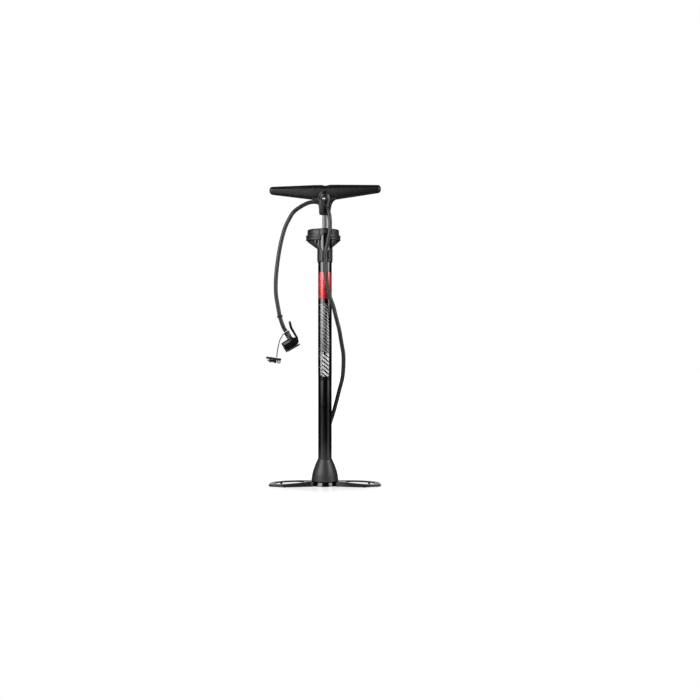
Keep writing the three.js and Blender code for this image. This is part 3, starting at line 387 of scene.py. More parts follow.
def turned(name, profile, sides=ROUND, ease=0.3):
    """A solid of revolution about Z from (radius, z) points, from axis to axis or closed on itself."""
    opened = profile[0][0] == 0 and profile[-1][0] == 0
    points = eased(profile, ease, closed=not opened, steps=3)
    bm = bmesh.new()
    rings = []
    for r, z in points:
        if r < 1e-6:
            rings.append([bm.verts.new((0, 0, z * MM))])
            continue
        angles = [2 * pi * i / sides for i in range(sides)]
        rings.append([bm.verts.new((r * cos(a) * MM, r * sin(a) * MM, z * MM)) for a in angles])
    pairs = list(zip(rings, rings[1:]))
    if not opened:
        pairs.append((rings[-1], rings[0]))
    for low, high in pairs:
        for i in range(sides):
            j = (i + 1) % sides
            face = [low[i % len(low)], low[j % len(low)], high[j % len(high)], high[i % len(high)]]
            face = list(dict.fromkeys(face))
            if len(face) > 2:
                bm.faces.new(face)
    return finished(name, bm)


def slab(name, outline, low, high, ease=0.5):
    """An upright prism from an (x, y) outline, with its rim rounded over."""
    bm = bmesh.new()
    inner = inset(outline, ease)
    layers = [(inner, low), (outline, low + ease), (outline, high - ease), (inner, high)]
    rings = [[bm.verts.new((x * MM, y * MM, z * MM)) for x, y in ring] for ring, z in layers]
    count = len(outline)
    for below, above in zip(rings, rings[1:]):
        for i in range(count):
            j = (i + 1) % count
            bm.faces.new((below[i], below[j], above[j], above[i]))
    bm.faces.new(rings[0])
    bm.faces.new(rings[-1])
    return finished(name, bm)


def inset(outline, distance):
    """An outline with every side moved inwards."""
    points = [Vector(p) for p in outline]
    count = len(points)
    area = sum(points[i - 1].x * points[i].y - points[i].x * points[i - 1].y for i in range(count))
    side = 1 if area > 0 else -1

    def inward(a, b):
        along = (b - a).normalized()
        return Vector((-along.y, along.x)) * side

    out = []
    for i, here in enumerate(points):
        first = inward(points[i - 1], here)
        second = inward(here, points[(i + 1) % count])
        out.append(here + (first + second) * (distance / (1 + first.dot(second))))
    return out


def add_prism(bm, corners, z0, z1, y=0):
    """Adds a small upright prism to the bmesh, from corners round (0, y)."""
    low, high = [[bm.verts.new((p.x * MM, (y + p.y) * MM, z * MM)) for p in corners] for z in (z0, z1)]
    bm.faces.new(low)
    bm.faces.new(high)
    for i in range(len(corners)):
        j = (i + 1) % len(corners)
        bm.faces.new((low[i], low[j], high[j], high[i]))


def block(name, x0, x1, y0, y1, z0, z1, ease=0.5, corner=1.0):
    outline = eased([(x0, y0), (x1, y0), (x1, y1), (x0, y1)], corner)
    return slab(name, outline, z0, z1, ease)


def moved(obj, matrix):
    obj.data.transform(matrix)
    return obj


def baked(obj):
    """The object's mesh with its modifiers made real."""
    graph = bpy.context.evaluated_depsgraph_get()
    mesh = bpy.data.meshes.new_from_object(obj.evaluated_get(graph))
    obj.modifiers.clear()
    obj.data = mesh
    return obj


def combine(base, tools, operation):
    for tool in tools:
        modifier = base.modifiers.new("combine", "BOOLEAN")
        modifier.object = tool
        modifier.operation = operation
        modifier.solver = "EXACT"
        baked(base)
        bpy.data.objects.remove(tool)
    return base


def reshaded(obj, sharp=32):
    bm = bmesh.new()
    bm.from_mesh(obj.data)
    bmesh.ops.remove_doubles(bm, verts=bm.verts, dist=2e-6)
    bmesh.ops.dissolve_degenerate(bm, edges=bm.edges, dist=1e-6)
    for face in bm.faces:
        face.smooth = True
    for edge in bm.edges:
        edge.smooth = len(edge.link_faces) == 2 and edge.calc_face_angle(0) < radians(sharp)
    bm.to_mesh(obj.data)
    bm.free()
    return obj


def rounded_edges(obj, width):
    """Rounds over the edges that a cut or join left sharp."""
    modifier = obj.modifiers.new("edges", "BEVEL")
    modifier.width = width * MM
    modifier.segments = 2
    modifier.limit_method = "ANGLE"
    modifier.angle_limit = radians(35)
    modifier.use_clamp_overlap = True
    return reshaded(baked(obj), 40)


def route(points, steps=8):
    """The centripetal curve through the points, in metres, as the CAD's tube follows it."""
    knots = [Vector(p) for p in points]
    knots = [knots[0] * 2 - knots[1], *knots, knots[-1] * 2 - knots[-2]]
    out = []
    for a, b, c, d in zip(knots, knots[1:], knots[2:], knots[3:]):
        t1 = (b - a).length ** 0.5
        t2 = t1 + (c - b).length ** 0.5
        t3 = t2 + (d - c).length ** 0.5
        for step in range(steps):
            t = t1 + (t2 - t1) * step / steps
            ab = a.lerp(b, t / t1)
            bc = b.lerp(c, (t - t1) / (t2 - t1))
            cd = c.lerp(d, (t - t2) / (t3 - t2))
            abc = ab.lerp(bc, t / t2)
            bcd = bc.lerp(cd, (t - t1) / (t3 - t1))
            out.append(abc.lerp(bcd, (t - t1) / (t2 - t1)) * MM)
    out.append(knots[-2] * MM)
    return out


def piped(name, points, diameter, sides=12):
    """A round curve object through points in metres."""
    curve = bpy.data.curves.new(name, "CURVE")
    curve.dimensions = "3D"
    curve.bevel_depth = diameter * MM / 2
    curve.bevel_resolution = sides
    curve.use_fill_caps = True
    spline = curve.splines.new("POLY")
    spline.points.add(len(points) - 1)
    for knot, point in zip(spline.points, points):
        knot.co = (*point, 1)
    spline.use_smooth = True
    obj = bpy.data.objects.new(name, curve)
    bpy.context.scene.collection.objects.link(obj)
    return obj


def as_piece(obj, body="frame", node=None, slot=None, surface=None):
    """Gives a piece its material and the body it rides on, and hides the CAD node it stands for."""
    slot = slot or NODE_SLOTS[node]
    obj.data.materials.clear()
    obj.data.materials.append((surface or SURFACES[slot]).material)
    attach(obj, body)
    if node:
        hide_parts(node)
    return obj


# ---- Cords: the hose, and the adapters' lanyard ----

def add_cords():
    hose_line = route(HOSE_ROUTE)
    hose = as_piece(piped("air_hose", hose_line, HOSE_D), node="hose")
    line = route(LANYARD_ROUTE)
    lanyard = as_piece(piped("adapter_lanyard", line, LANYARD_D, 8), node="lanyard")


# ---- Stand ----

WING = [(20, -22), (88, -39), (124.5, -21), (119.5, 36), (92, 44), (60, 36), (20, 12)]
WING_WINDOW = [(46, -17), (86, -27.5), (112, -15), (108, 28), (90, 33), (64, 27), (46, 10)]
HUB_R, HUB_TOP, TIP_TOP, HALF_SPAN, SKIRT, SHEET, LIP = 27, 11, 4.5, 124.5, 1, 1.6, 3.2


def roof(x):
    """Height of the plate's top face at a distance from the barrel's axis."""
    out = max(0, abs(x) - HUB_R) / (HALF_SPAN - HUB_R)
    return HUB_TOP + (TIP_TOP - HUB_TOP) * out


def wing_air(mirror):
    """The air under a wing, which leaves a shallow rim round its window and along its back."""
    sign = -1 if mirror else 1
    root, tip = 31, 130
    side = ((root, -2), (tip, -2), (tip, roof(tip) - LIP), (root, roof(root) - LIP))
    under = [(sign * x, z) for x, z in side]
    window = [(sign * p.x, p.y) for p in inset(eased(WING_WINDOW, 9, steps=8), -2.6)]
    behind = across("air", under, 0.5, 60)
    round_window = combine(slab("air", window, -2, 20, 0.01), [across("under", under, -50, 50)], "INTERSECT")
    return [behind, round_window]


def add_base_plate():
    wing = eased(WING, 14, steps=8)
    window = eased(WING_WINDOW, 9, steps=8)
    tall = HUB_TOP + 4

    def flip(outline):
        return [(-x, y) for x, y in reversed(outline)]

    hub = turned("base_plate_visual", [(0, 0), (HUB_R, 0), (HUB_R, tall), (0, tall)], 128, 0)
    wings = [slab("wing", [tuple(p) for p in side], 0, tall, 0.01) for side in (wing, flip(wing))]
    holes = [slab("hole", [tuple(p) for p in side], -2, tall + 2, 0.01) for side in (window, flip(window))]
    plan = combine(combine(hub, wings, "UNION"), holes, "DIFFERENCE")
    # The pressed sheet: the plan's top and its walls, with rounded shoulders and a hollow underside.
    bm = bmesh.new()
    bm.from_mesh(plan.data)
    low = [f for f in bm.faces if f.calc_center_median().z < 0.0001]
    bmesh.ops.delete(bm, geom=low, context="FACES")
    bmesh.ops.remove_doubles(bm, verts=bm.verts, dist=1e-5)
    rim = [e for e in bm.edges if e.calc_face_angle(0) > radians(60)
           and all(v.co.z > (tall - 0.1) * MM for v in e.verts)]
    bmesh.ops.bevel(bm, geom=rim, offset=2.2 * MM, segments=4, profile=0.5, affect="EDGES",
                    clamp_overlap=True)
    for vert in bm.verts:
        x = vert.co.x / MM
        share = vert.co.z / (tall * MM)
        vert.co.z = (SKIRT + share * (roof(x) - SKIRT)) * MM
        if vert.co.xy.length < (HUB_R + 0.1) * MM:
            vert.co.xy *= 1 - 0.1 * share
    bm.to_mesh(plan.data)
    bm.free()
    solid = plan.modifiers.new("sheet", "SOLIDIFY")
    solid.thickness = SHEET * MM
    solid.offset = -1
    baked(plan)
    combine(plan, [air for side in (False, True) for air in wing_air(side)], "DIFFERENCE")
    as_piece(reshaded(plan, 38), node="base_plate")


def add_cone():
    outline = [(29.6, 11.3), (29.5, 13.5), (28.3, 24.5), (26.2, 33.5), (22, 45.3), (19, 52), (17, 56.4),
               (16.3, 59.2), (15.3, 59.2), (15.3, 14.7), (8, 14.7), (8, 11.9), (17.5, 11.9), (17.5, 42),
               (25.9, 24.5), (27.2, 11.3)]
    cone = turned("base_cone_visual", outline, ROUND, 0.5)
    hole = turned("hole", [(0, 12), (5, 12), (5, 34), (0, 34)], SMALL_ROUND, 0)
    combine(cone, [moved(hole, at((0, 0, 26), lay="Y"))], "DIFFERENCE")
    as_piece(reshaded(cone), node="base_cone")


def add_feet():
    for node in ("foot_front_left", "foot_front_right", "foot_rear_left", "foot_rear_right"):
        low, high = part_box(node)
        middle = (low + high) / 2 / MM
        r = (high.x - low.x) / 2 / MM
        top = high.z / MM
        pad = turned(node + "_visual", [(0, 0), (r, 0), (r, top), (0, top)], SMALL_ROUND, 0.5)
        as_piece(moved(pad, at((middle.x, middle.y, 0))), node=node)
    pad = turned("centre_pad_visual", [(0, 0), (9, 0), (9.4, 0.5), (10.6, 0.5), (11, 0), (16, 0), (16, 6),
                                       (0, 6)], ROUND, 0.4)
    as_piece(pad, node="centre_pad")


def add_outlet():
    line = route([(0, 9.4, 26), (0, 20, 26), (0, 28, 26), (0, 33.5, 27.2), (0, 35.6, 31),
                  (0, OUTLET_Y, 36), (0, OUTLET_Y, 40)])
    elbow = piped("outlet_elbow_visual", line, ELBOW_D)
    as_piece(elbow, node="outlet_elbow")
    bottom, top = 33, 51.5
    ridges = [(bottom + 3 + 2.2 * i) for i in range(6)]
    profile = [(3.6, bottom), (6.4, bottom), (7, bottom + 0.8)]
    for z in ridges:
        profile += [(7, z), (6.6, z + 0.5), (6.6, z + 1), (7, z + 1.5)]
    profile += [(7, top - 1.6), (5.6, top), (3.6, top)]
    as_piece(moved(turned("outlet_nut_visual", profile, SMALL_ROUND, 0.2), at((0, OUTLET_Y, 0))),
             node="outlet_nut")


# ---- Barrel ----

def add_barrel():
    profile = [(BARREL_R - 1, 35.7), (BARREL_R, 35.7), (BARREL_R, 556), (BARREL_R - 1, 556)]
    as_piece(turned("barrel_visual", profile, 128, 0.25), node="barrel_tube")
    outer = BARREL_R + 0.12
    for name, (low, high), surface in (("red_band", RED_BAND, RED_FOIL), ("label_wrap", LABEL, LABEL_PRINT)):
        wrap = turned(name, [(BARREL_R, low), (outer, low), (outer, high), (BARREL_R, high)], 128, 0.02)
        as_piece(wrap, slot="black_paint", surface=surface)


# ---- Gauge housing and gauge ----

def housing_window():
    """Round-topped window that narrows to the hose's slot, as an (x, z) outline."""
    half, low, high = 14, 515.5, 555

    def side(slot):
        foot = [Vector(p) for p in ((slot, low), (slot + 4, low + 3), (half, low + 8), (half, low + 16))]
        arch = [Vector(p) for p in ((half, low + 16), (half, high - 5), (half - 4, high), (0, high))]
        line = [Vector((slot, 488))] + [bezier(*foot, step / 12) for step in range(13)]
        return line + [bezier(*arch, step / 12) for step in range(1, 13)]

    left = [(-x, z) for x, z in side(SLOT_HALF - SLOT_X)]
    return [tuple(p) for p in side(SLOT_HALF + SLOT_X)] + left[-2::-1]


def bezier(a, b, c, d, t):
    s = 1 - t
    return a * s ** 3 + b * 3 * s * s * t + c * 3 * s * t * t + d * t ** 3


def housing_cone():
    """The skin between the wide band behind the barrel and the collar round it."""
    bm = bmesh.new()
    for radius, y, z in ((35.8, DRUM_Y, 541.4), (34.6, DRUM_Y, 538.8), (33, DRUM_Y, 537.4), (17, 0, 523)):
        for i in range(ROUND):
            a = 2 * pi * i / ROUND
            tilt = 0.12 * radius * cos(a) if y == 0 else 0
            bm.verts.new((radius * cos(a) * MM, (y + radius * sin(a)) * MM, (z + tilt) * MM))
    bmesh.ops.convex_hull(bm, input=bm.verts)
    return finished("cone", bm)


def across(name, outline, y0, y1):
    """A prism along Y from an (x, z) outline."""
    return moved(slab(name, outline, -y1, -y0, 0.01), Matrix.Rotation(pi / 2, 4, "X"))


def band_ribs(count=60):
    """Low upright ribs in the groove round the band."""
    bm = bmesh.new()
    for i in range(count):
        a = 2 * pi * i / count
        along, side = Vector((cos(a), sin(a))), Vector((-sin(a), cos(a)))
        corners = [along * r + side * w for r, w in ((36.8, -0.7), (38.1, -0.4), (38.1, 0.4), (36.8, 0.7))]
        add_prism(bm, corners, 543.5, 551, DRUM_Y)
    return finished("ribs", bm)


def add_housing():
    drum_r, drum_top = 35.2, 566
    drum_profile = [(0, 541), (37.4, 541), (38.4, 542), (38.4, 545), (37.4, 546), (37.4, 548.4),
                    (38.4, 549.4), (38.4, 552.4), (35.4, 553.4), (drum_r, 554.4)]
    for step in range(9):
        a = radians(step * 11.25)
        edge_z = drum_top - DRUM_EDGE_R * (1 - sin(a))
        drum_profile.append((drum_r - DRUM_EDGE_R * (1 - cos(a)), edge_z))
    drum_profile.append((0, drum_top))
    body = moved(turned("gauge_housing_visual", drum_profile, 128, 0.35), at((0, DRUM_Y, 0)))
    collar = turned("collar", [(0, 491.3), (16.4, 491.3), (17, 498), (17, 562.5), (16.2, 565), (14, 566),
                               (0, 566)], ROUND, 0.5)
    clip = block("clip", -8.4, 8.4, -24.2, -10, 499, 518, 0.8, 2.2)
    body = combine(body, [band_ribs()], "UNION")
    lug = block("lug", -6.5, 6.5, 14, 25, 497, 511, 0.8, 2)
    combine(body, [housing_cone(), collar, clip, lug], "UNION")
    room = moved(turned("room", [(0, 544), (32.6, 544), (32.6, 557), (0, 557)], ROUND, 0), at((0, DRUM_Y, 0)))
    combine(room, [turned("column", [(0, 530), (17.4, 530), (17.4, 560), (0, 560)], ROUND, 0)], "DIFFERENCE")

    def hole(r, z0, z1, y=0):
        return moved(turned("hole", [(0, z0), (r, z0), (r, z1), (0, z1)], 64, 0), at((0, y, 0)))

    cuts = [room, hole(19.8, 559.6, 568, GAUGE_Y), hole(11.4, 544, 560.5, GAUGE_Y), hole(15.3, 489, 559.6),
            hole(8.1, 559, 568), across("window", housing_window(), -40, -5),
            moved(hole(5, 488, 520, -20), at((SLOT_X, 0, 0))),
            block("mouth", SLOT_X - 3.4, SLOT_X + 3.4, -30, -20, 498, 519, 0.01, 0.1),
            block("slit", -0.8, 0.8, 12, 27, 489, 514, 0.01, 0.1)]
    for angle, half in ((57, 9), (-57, 9), (-31, 2.6)):
        recess = block("recess", -half, half, -38, -30.4, 532, 540.7, 0.5, 1.2)
        cuts.append(moved(recess, at((0, DRUM_Y, 0), angle)))
    combine(body, cuts, "DIFFERENCE")
    rounded_edges(body, 0.35)
    as_piece(moved(body, at(turn=HOUSING_TURN)), node="gauge_housing")
    screw = [(0, -8), (1.7, -8), (1.7, 6.8), (3.3, 6.8), (3.3, 9.2), (1.7, 9.8), (1.5, 8.6), (0, 8.6)]
    as_piece(moved(turned("clamp_screw_visual", screw, SMALL_ROUND, 0.2),
                   at(turn=HOUSING_TURN) @ at((0, 20.5, 504), lay="X")), node="clamp_screw")


def add_gauge():
    here = at(turn=HOUSING_TURN) @ at((0, GAUGE_Y, 0))
    bezel = [(17.5, 559.9), (19.5, 559.9), (19.5, 566), (18.6, 567), (17, 567), (16.4, 566.3), (17.5, 566.3)]
    as_piece(moved(turned("gauge_bezel_visual", bezel, 128, 0.25), here), node="gauge_bezel")
    dial = turned("gauge_dial_visual", [(0, 559.9), (17.2, 559.9), (17.2, 560.9), (0, 560.9)], ROUND, 0.1)
    as_piece(moved(dial, here), node="gauge_dial")
    lens = [(0, 564.4), (17.2, 564.4), (17.2, 565.4), (15, 565.8), (8, 566), (0, 566)]
    as_piece(moved(turned("gauge_lens_visual", lens, ROUND, 0.2), here), node="gauge_lens")
    hand = [(-5, -0.8), (-2, -0.5), (11, -0.35), (14.6, 0), (11, 0.35), (-2, 0.5), (-5, 0.8)]
    needle = slab("gauge_needle_visual", hand, 561.6, 562.2, 0.1)
    hub = turned("hub", [(0, 561.2), (1.9, 561.2), (1.9, 562.6), (1.2, 563), (0, 563)], SMALL_ROUND, 0.2)
    combine(needle, [hub], "UNION")
    as_piece(moved(needle, here @ at(turn=225)), "gauge_needle", "gauge_needle")
    add_dial_marks(here)


def add_dial_marks(here):
    """Ticks round the dial from 225 degrees, clockwise, and a number at every fourth one."""
    first, sweep, count = 225, 270, 32
    bm = bmesh.new()
    for i in range(count + 1):
        angle = radians(first - sweep * i / count)
        long = i % 4 == 0
        inner, outer, half = (13.4 if long else 14.6), 16.2, (0.28 if long else 0.14)
        along = Vector((cos(angle), sin(angle)))
        side = Vector((-along.y, along.x)) * half
        corners = [along * inner - side, along * outer - side, along * outer + side, along * inner + side]
        add_prism(bm, corners, 560.86, 560.98)
    as_piece(moved(finished("dial_ticks", bm), here), slot="dial_white", surface=DIAL_INK)
    for i in range(0, count + 1, 4):
        angle = radians(first - sweep * i / count)
        text = bpy.data.curves.new("dial_number", "FONT")
        text.body = str(i * 5)
        text.size = 2.7 * MM
        text.extrude = 0.04 * MM
        text.align_x = "CENTER"
        text.align_y = "CENTER"
        writer = bpy.data.objects.new("writer", text)
        bpy.context.scene.collection.objects.link(writer)
        mesh = bpy.data.meshes.new_from_object(writer)
        bpy.data.objects.remove(writer)
        number = bpy.data.objects.new(f"dial_number_{i * 5}", mesh)
        bpy.context.scene.collection.objects.link(number)
        spot = here @ at((cos(angle) * 11, sin(angle) * 11, 560.95))
        as_piece(moved(number, spot), slot="dial_white", surface=DIAL_INK)


# ---- Rod ----

def add_rod():
    rod = [(0, 46.5), (3.8, 46.5), (3.8, 66), (ROD_R, 66), (ROD_R, 636), (0, 636)]
    as_piece(turned("rod_visual", rod, ROUND, 0.4), "handle", "piston_rod")
    wiper = [(5.62, 561.9), (7.8, 561.9), (7.8, 566), (6.2, 567), (5.62, 566.6)]
    as_piece(turned("rod_wiper_visual", wiper, ROUND, 0.2), node="rod_wiper")


# ---- Handle ----

HANDLE_HALF, HANDLE_ROOT_X = 123.6, 25
STEM_R, STEM_BOTTOM, HOOK_X, HOOK_Z = 12.65, 596.7, 1.2, 628.7


def handle_ring(x):
    """The grip's section at x: a chamfered top, a crease, and a front that turns under."""
    away = abs(x)
    taper = min(1, max(0, (away - HANDLE_ROOT_X) / (HANDLE_HALF - HANDLE_ROOT_X)))
    near = min(1, abs(x - 2) / 10)

    def blend(root, tip):
        return root + (tip - root) * taper

    bottom = blend(629.8, 643.3)
    top = blend(662, 659.7) - 1.9 * (0.5 + 0.5 * cos(pi * near))
    crease = blend(0.71, 0.6)
    half = blend(12, 9.6)
    side = [(0, 0), (0.45, 0.01), (0.68, 0.07), (0.83, 0.22), (0.93, 0.42), (1, crease - 0.02),
            (0.985, crease + 0.03), (0.78, 0.9), (0.62, 0.975), (0.4, 1), (0, 1)]
    short = max(0, 6 - (HANDLE_HALF - away)) / 6
    shrink = 0.22 + 0.78 * sqrt(max(0, 1 - short * short))
    ring = side + [(-y, z) for y, z in reversed(side[1:-1])]
    middle, tall = (bottom + top) / 2, top - bottom
    return [Vector((x, y * half * shrink, middle + (z - 0.5) * tall * shrink)) * MM for y, z in ring]


def handle_bar():
    bm = bmesh.new()
    ends = [6 * (1 - cos(radians(90 - 10 * i))) for i in range(10)]
    half = [12 + 5.2 * i for i in range(20)] + [HANDLE_HALF - e for e in ends]
    stations = sorted({round(s * x, 3) for x in half for s in (-1, 1)} | set(range(-10, 12, 2)))
    rings = [[bm.verts.new(p) for p in handle_ring(x)] for x in stations]
    for below, above in zip(rings, rings[1:]):
        for i in range(len(below)):
            j = (i + 1) % len(below)
            bm.faces.new((below[i], below[j], above[j], above[i]))
    bm.faces.new(rings[0])
    bm.faces.new(rings[-1])
    return finished("handle_visual", bm)


def handle_gusset():
    half = [(STEM_R - 0.3, 608)]
    corner = (STEM_R + 0.9, 629.5)
    start, end = Vector(half[0]), Vector((27, 631))
    for step in range(1, 13):
        t = step / 12
        half.append(tuple(start.lerp(Vector(corner), t).lerp(Vector(corner).lerp(end, t), t)))
    half.append((27, 645))
    outline = half + [(-x, z) for x, z in reversed(half)]
    return across("gusset", outline, -8.5, 8.5)


def along_rivet(name, profile, sides=ROUND, ease=0.3):
    """A turned piece on the rivet's line, from (radius, y) points."""
    return moved(turned(name, profile, sides, ease), at((HOOK_X, 0, HOOK_Z), lay="Y"))


def add_handle():
    grip = handle_bar()
    stem = turned("stem", [(0, STEM_BOTTOM), (STEM_R, STEM_BOTTOM), (STEM_R, 616), (14.6, 627), (15.2, 632),
                           (15, 639), (13.4, 644.5), (10, 648.8), (6, 650.6), (0, 651)], ROUND, 1.5)
    pad = along_rivet("pad", [(0, PAD_FRONT), (HOOK_BOSS_R, PAD_FRONT), (HOOK_BOSS_R, -4), (0, -4)], ease=0.4)
    combine(grip, [stem, handle_gusset(), pad], "UNION")
    remesh = grip.modifiers.new("skin", "REMESH")
    remesh.mode = "VOXEL"
    remesh.voxel_size = 0.7 * MM
    smooth = grip.modifiers.new("fillets", "SMOOTH")
    smooth.factor = 0.5
    smooth.iterations = 4
    baked(grip)
    bore_r = ROD_R + 0.2
    bore = turned("bore", [(0, 590), (bore_r, 590), (bore_r, 637), (0, 637)], 64, 0)
    combine(grip, [bore], "DIFFERENCE")
    reshaded(grip, 50)
    as_piece(moved(grip, at(turn=HANDLE_TURN)), "handle", "handle")


def add_hook():
    front, back, root = -27.8, -25.2, -15.7
    outline = eased([(-9.2, STEM_BOTTOM), (0.6, STEM_BOTTOM), (3.9, HOOK_Z), (-6, HOOK_Z),
                     (-9.2, 616.7)], 2.6)
    tab = across("hose_hook_visual", [tuple(p) for p in outline], front, back)
    profile = [(0, front), (HOOK_BOSS_R, front), (HOOK_BOSS_R, -25.6), (HOOK_NECK_R, -23.6),
               (HOOK_NECK_R, root), (0, root)]
    combine(tab, [along_rivet("boss", profile, ease=0.6)], "UNION")
    hole = along_rivet("hole", [(0, -30), (2.2, -30), (2.2, -10), (0, -10)], SMALL_ROUND, 0)
    combine(tab, [hole], "DIFFERENCE")
    rounded_edges(tab, 0.5)
    as_piece(moved(tab, at(turn=HANDLE_TURN)), "handle", "hose_hook")
    rivet = [(0, -29.7), (1.6, -29.5), (2.7, -28.8), (3, -28.1), (1.9, -28.1), (1.9, -7.6), (0, -7.6)]
    as_piece(moved(turned("hook_rivet_visual", rivet, SMALL_ROUND, 0.2),
                   at(turn=HANDLE_TURN) @ at((HOOK_X, 0, HOOK_Z), lay="Y")), "handle", "hook_rivet")


# ---- Chuck ----

HERE = at(CHUCK_PLACE, tilt=CHUCK_TILT)


def pivot_disc(name, r, y0, y1, ease=0.4):
    disc = turned(name, [(0, y0), (r, y0), (r, y1), (0, y1)], 64, ease)
    return moved(disc, at(PIVOT, lay="Y"))


def add_chuck_body():
    outline = [tuple(p) for p in eased([(-12, -9.5), (12, -9.5), (12, 9.5), (-12, 9.5)], 7.5, steps=10)]
    shell = moved(slab("chuck_body_visual", outline, 3, 29, 1.6), Matrix.Rotation(pi / 2, 4, "Y"))
    tongue = pivot_disc("tongue", 7, -3.9, 3.9)
    neck = moved(turned("neck", [(0, 6), (6.8, 6), (6, 13), (5.8, 14), (0, 14)], 64, 0.4), at((NECK_X, 0, 0)))
    heel = across("heel", [(24, -11.9), (33, -11.9), (35, -9.9), (35, -8.6), (24, -8.6)], -7, 7)
    combine(shell, [tongue, neck, heel], "UNION")
    bore = moved(turned("bore", [(0, 0), (6.5, 0), (6.5, 24), (0, 24)], 64, 0), at(lay="X"))
    rooms = [pivot_disc("room", 8.5, 3.9, 12, 0), pivot_disc("room", 8.5, -12, -3.9, 0)]
    combine(shell, [bore, *rooms, pivot_disc("hole", 2.3, -5, 5, 0)], "DIFFERENCE")
    rounded_edges(shell, 0.4)
    as_piece(moved(shell, HERE), node="chuck_body")


def add_chuck_lever():
    side = [(34, 1.8), (33.8, 18), (33.5, 30.5), (37.6, 44), (42.6, 44.4), (38.6, 30), (38.4, 1.8)]
    outline = [tuple(p) for p in eased(side, 3, steps=6)]
    lever = across("chuck_lever_visual", outline, -7.8, 7.8)
    ears = [pivot_disc("ear", 8, 4.3, 7.8), pivot_disc("ear", 8, -7.8, -4.3)]
    combine(lever, ears, "UNION")
    combine(lever, [pivot_disc("room", 7.6, -4.3, 4.3, 0), pivot_disc("hole", 2.2, -9, 9, 0)], "DIFFERENCE")
    rounded_edges(lever, 0.6)
    as_piece(moved(lever, HERE), "chuck_lever", "chuck_lever")
    pin = [(0, -8.7), (1.4, -8.7), (2, -8.2), (2, 8.2), (1.4, 8.7), (0, 8.7)]
    as_piece(moved(turned("lever_pin_visual", pin, SMALL_ROUND, 0.2), HERE @ at(PIVOT, lay="Y")),
             "chuck_lever", "lever_pin", surface=SURFACES["zinc_steel"])


def knurled(name, r_in, r_out, z0, z1, ribs=28):
    """A nut with raised ribs round it."""
    bm = bmesh.new()
    sides = ribs * 4
    profile = [(r_in, z0), (r_out - 0.7, z0), (r_out, z0 + 0.8), (r_out, z0 + 2.6), (r_out, z0 + 3.1),
               (r_out, z1 - 3.1), (r_out, z1 - 2.6), (r_out, z1 - 0.8), (r_out - 0.9, z1), (r_in, z1)]
    rings = []
    for index, (r, z) in enumerate(profile):
        ring = []
        for i in range(sides):
            a = 2 * pi * i / sides
            cut = 0.45 if index in (4, 5) and i % 4 in (0, 1) else 0
            ring.append(bm.verts.new(((r - cut) * cos(a) * MM, (r - cut) * sin(a) * MM, z * MM)))
        rings.append(ring)
    for low, high in zip(rings, rings[1:] + rings[:1]):
        for i in range(sides):
            j = (i + 1) % sides
            bm.faces.new((low[i], low[j], high[j], high[i]))
    return finished(name, bm, 40)


def add_chuck():
    add_chuck_body()
    add_chuck_lever()
    ring = [(5.2, 0.5), (5.7, 0), (10.9, 0), (11.8, 0.9), (11.8, 2.7), (5.2, 2.7)]
    as_piece(moved(turned("chuck_end_collar_visual", ring), HERE @ at(lay="X")), node="chuck_end_collar")
    grommet = [(3.8, 4.4), (4.6, 3.3), (6.2, 3.3), (6.2, 14), (3.8, 14)]
    as_piece(moved(turned("chuck_grommet_visual", grommet, 64), HERE @ at(lay="X")), node="chuck_grommet")
    on_neck = HERE @ at((NECK_X, 0, 0))
    as_piece(moved(knurled("chuck_nut_visual", 2.4, 6, 14.3, 28), on_neck), node="chuck_nut")
    loop = [(6.3, 24.7), (7.4, 24.9), (7.4, 26.7), (6.3, 26.9)]
    as_piece(moved(turned("lanyard_ring_visual", loop, 64, 0.4), on_neck), node="lanyard_ring")


def add_hose_ring():
    """The ring on the hose, square to the route where the CAD's ring is."""
    low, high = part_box("hose_ring")
    centre = (low + high) / 2
    line = route(HOSE_ROUTE)
    near = min(range(1, len(line) - 1), key=lambda i: (line[i] - centre).length)
    along = (line[near - 1] - line[near + 1]).normalized()
    ferrule = [(4.45, -2.6), (5.5, -2.6), (6.1, -1.9), (6.1, 1.9), (5.5, 2.6), (4.45, 2.6)]
    ring = turned("hose_ring_visual", ferrule, 64, 0.4)
    turn = along.to_track_quat("Z", "Y").to_matrix().to_4x4()
    as_piece(moved(ring, Matrix.Translation(centre) @ turn), node="hose_ring")


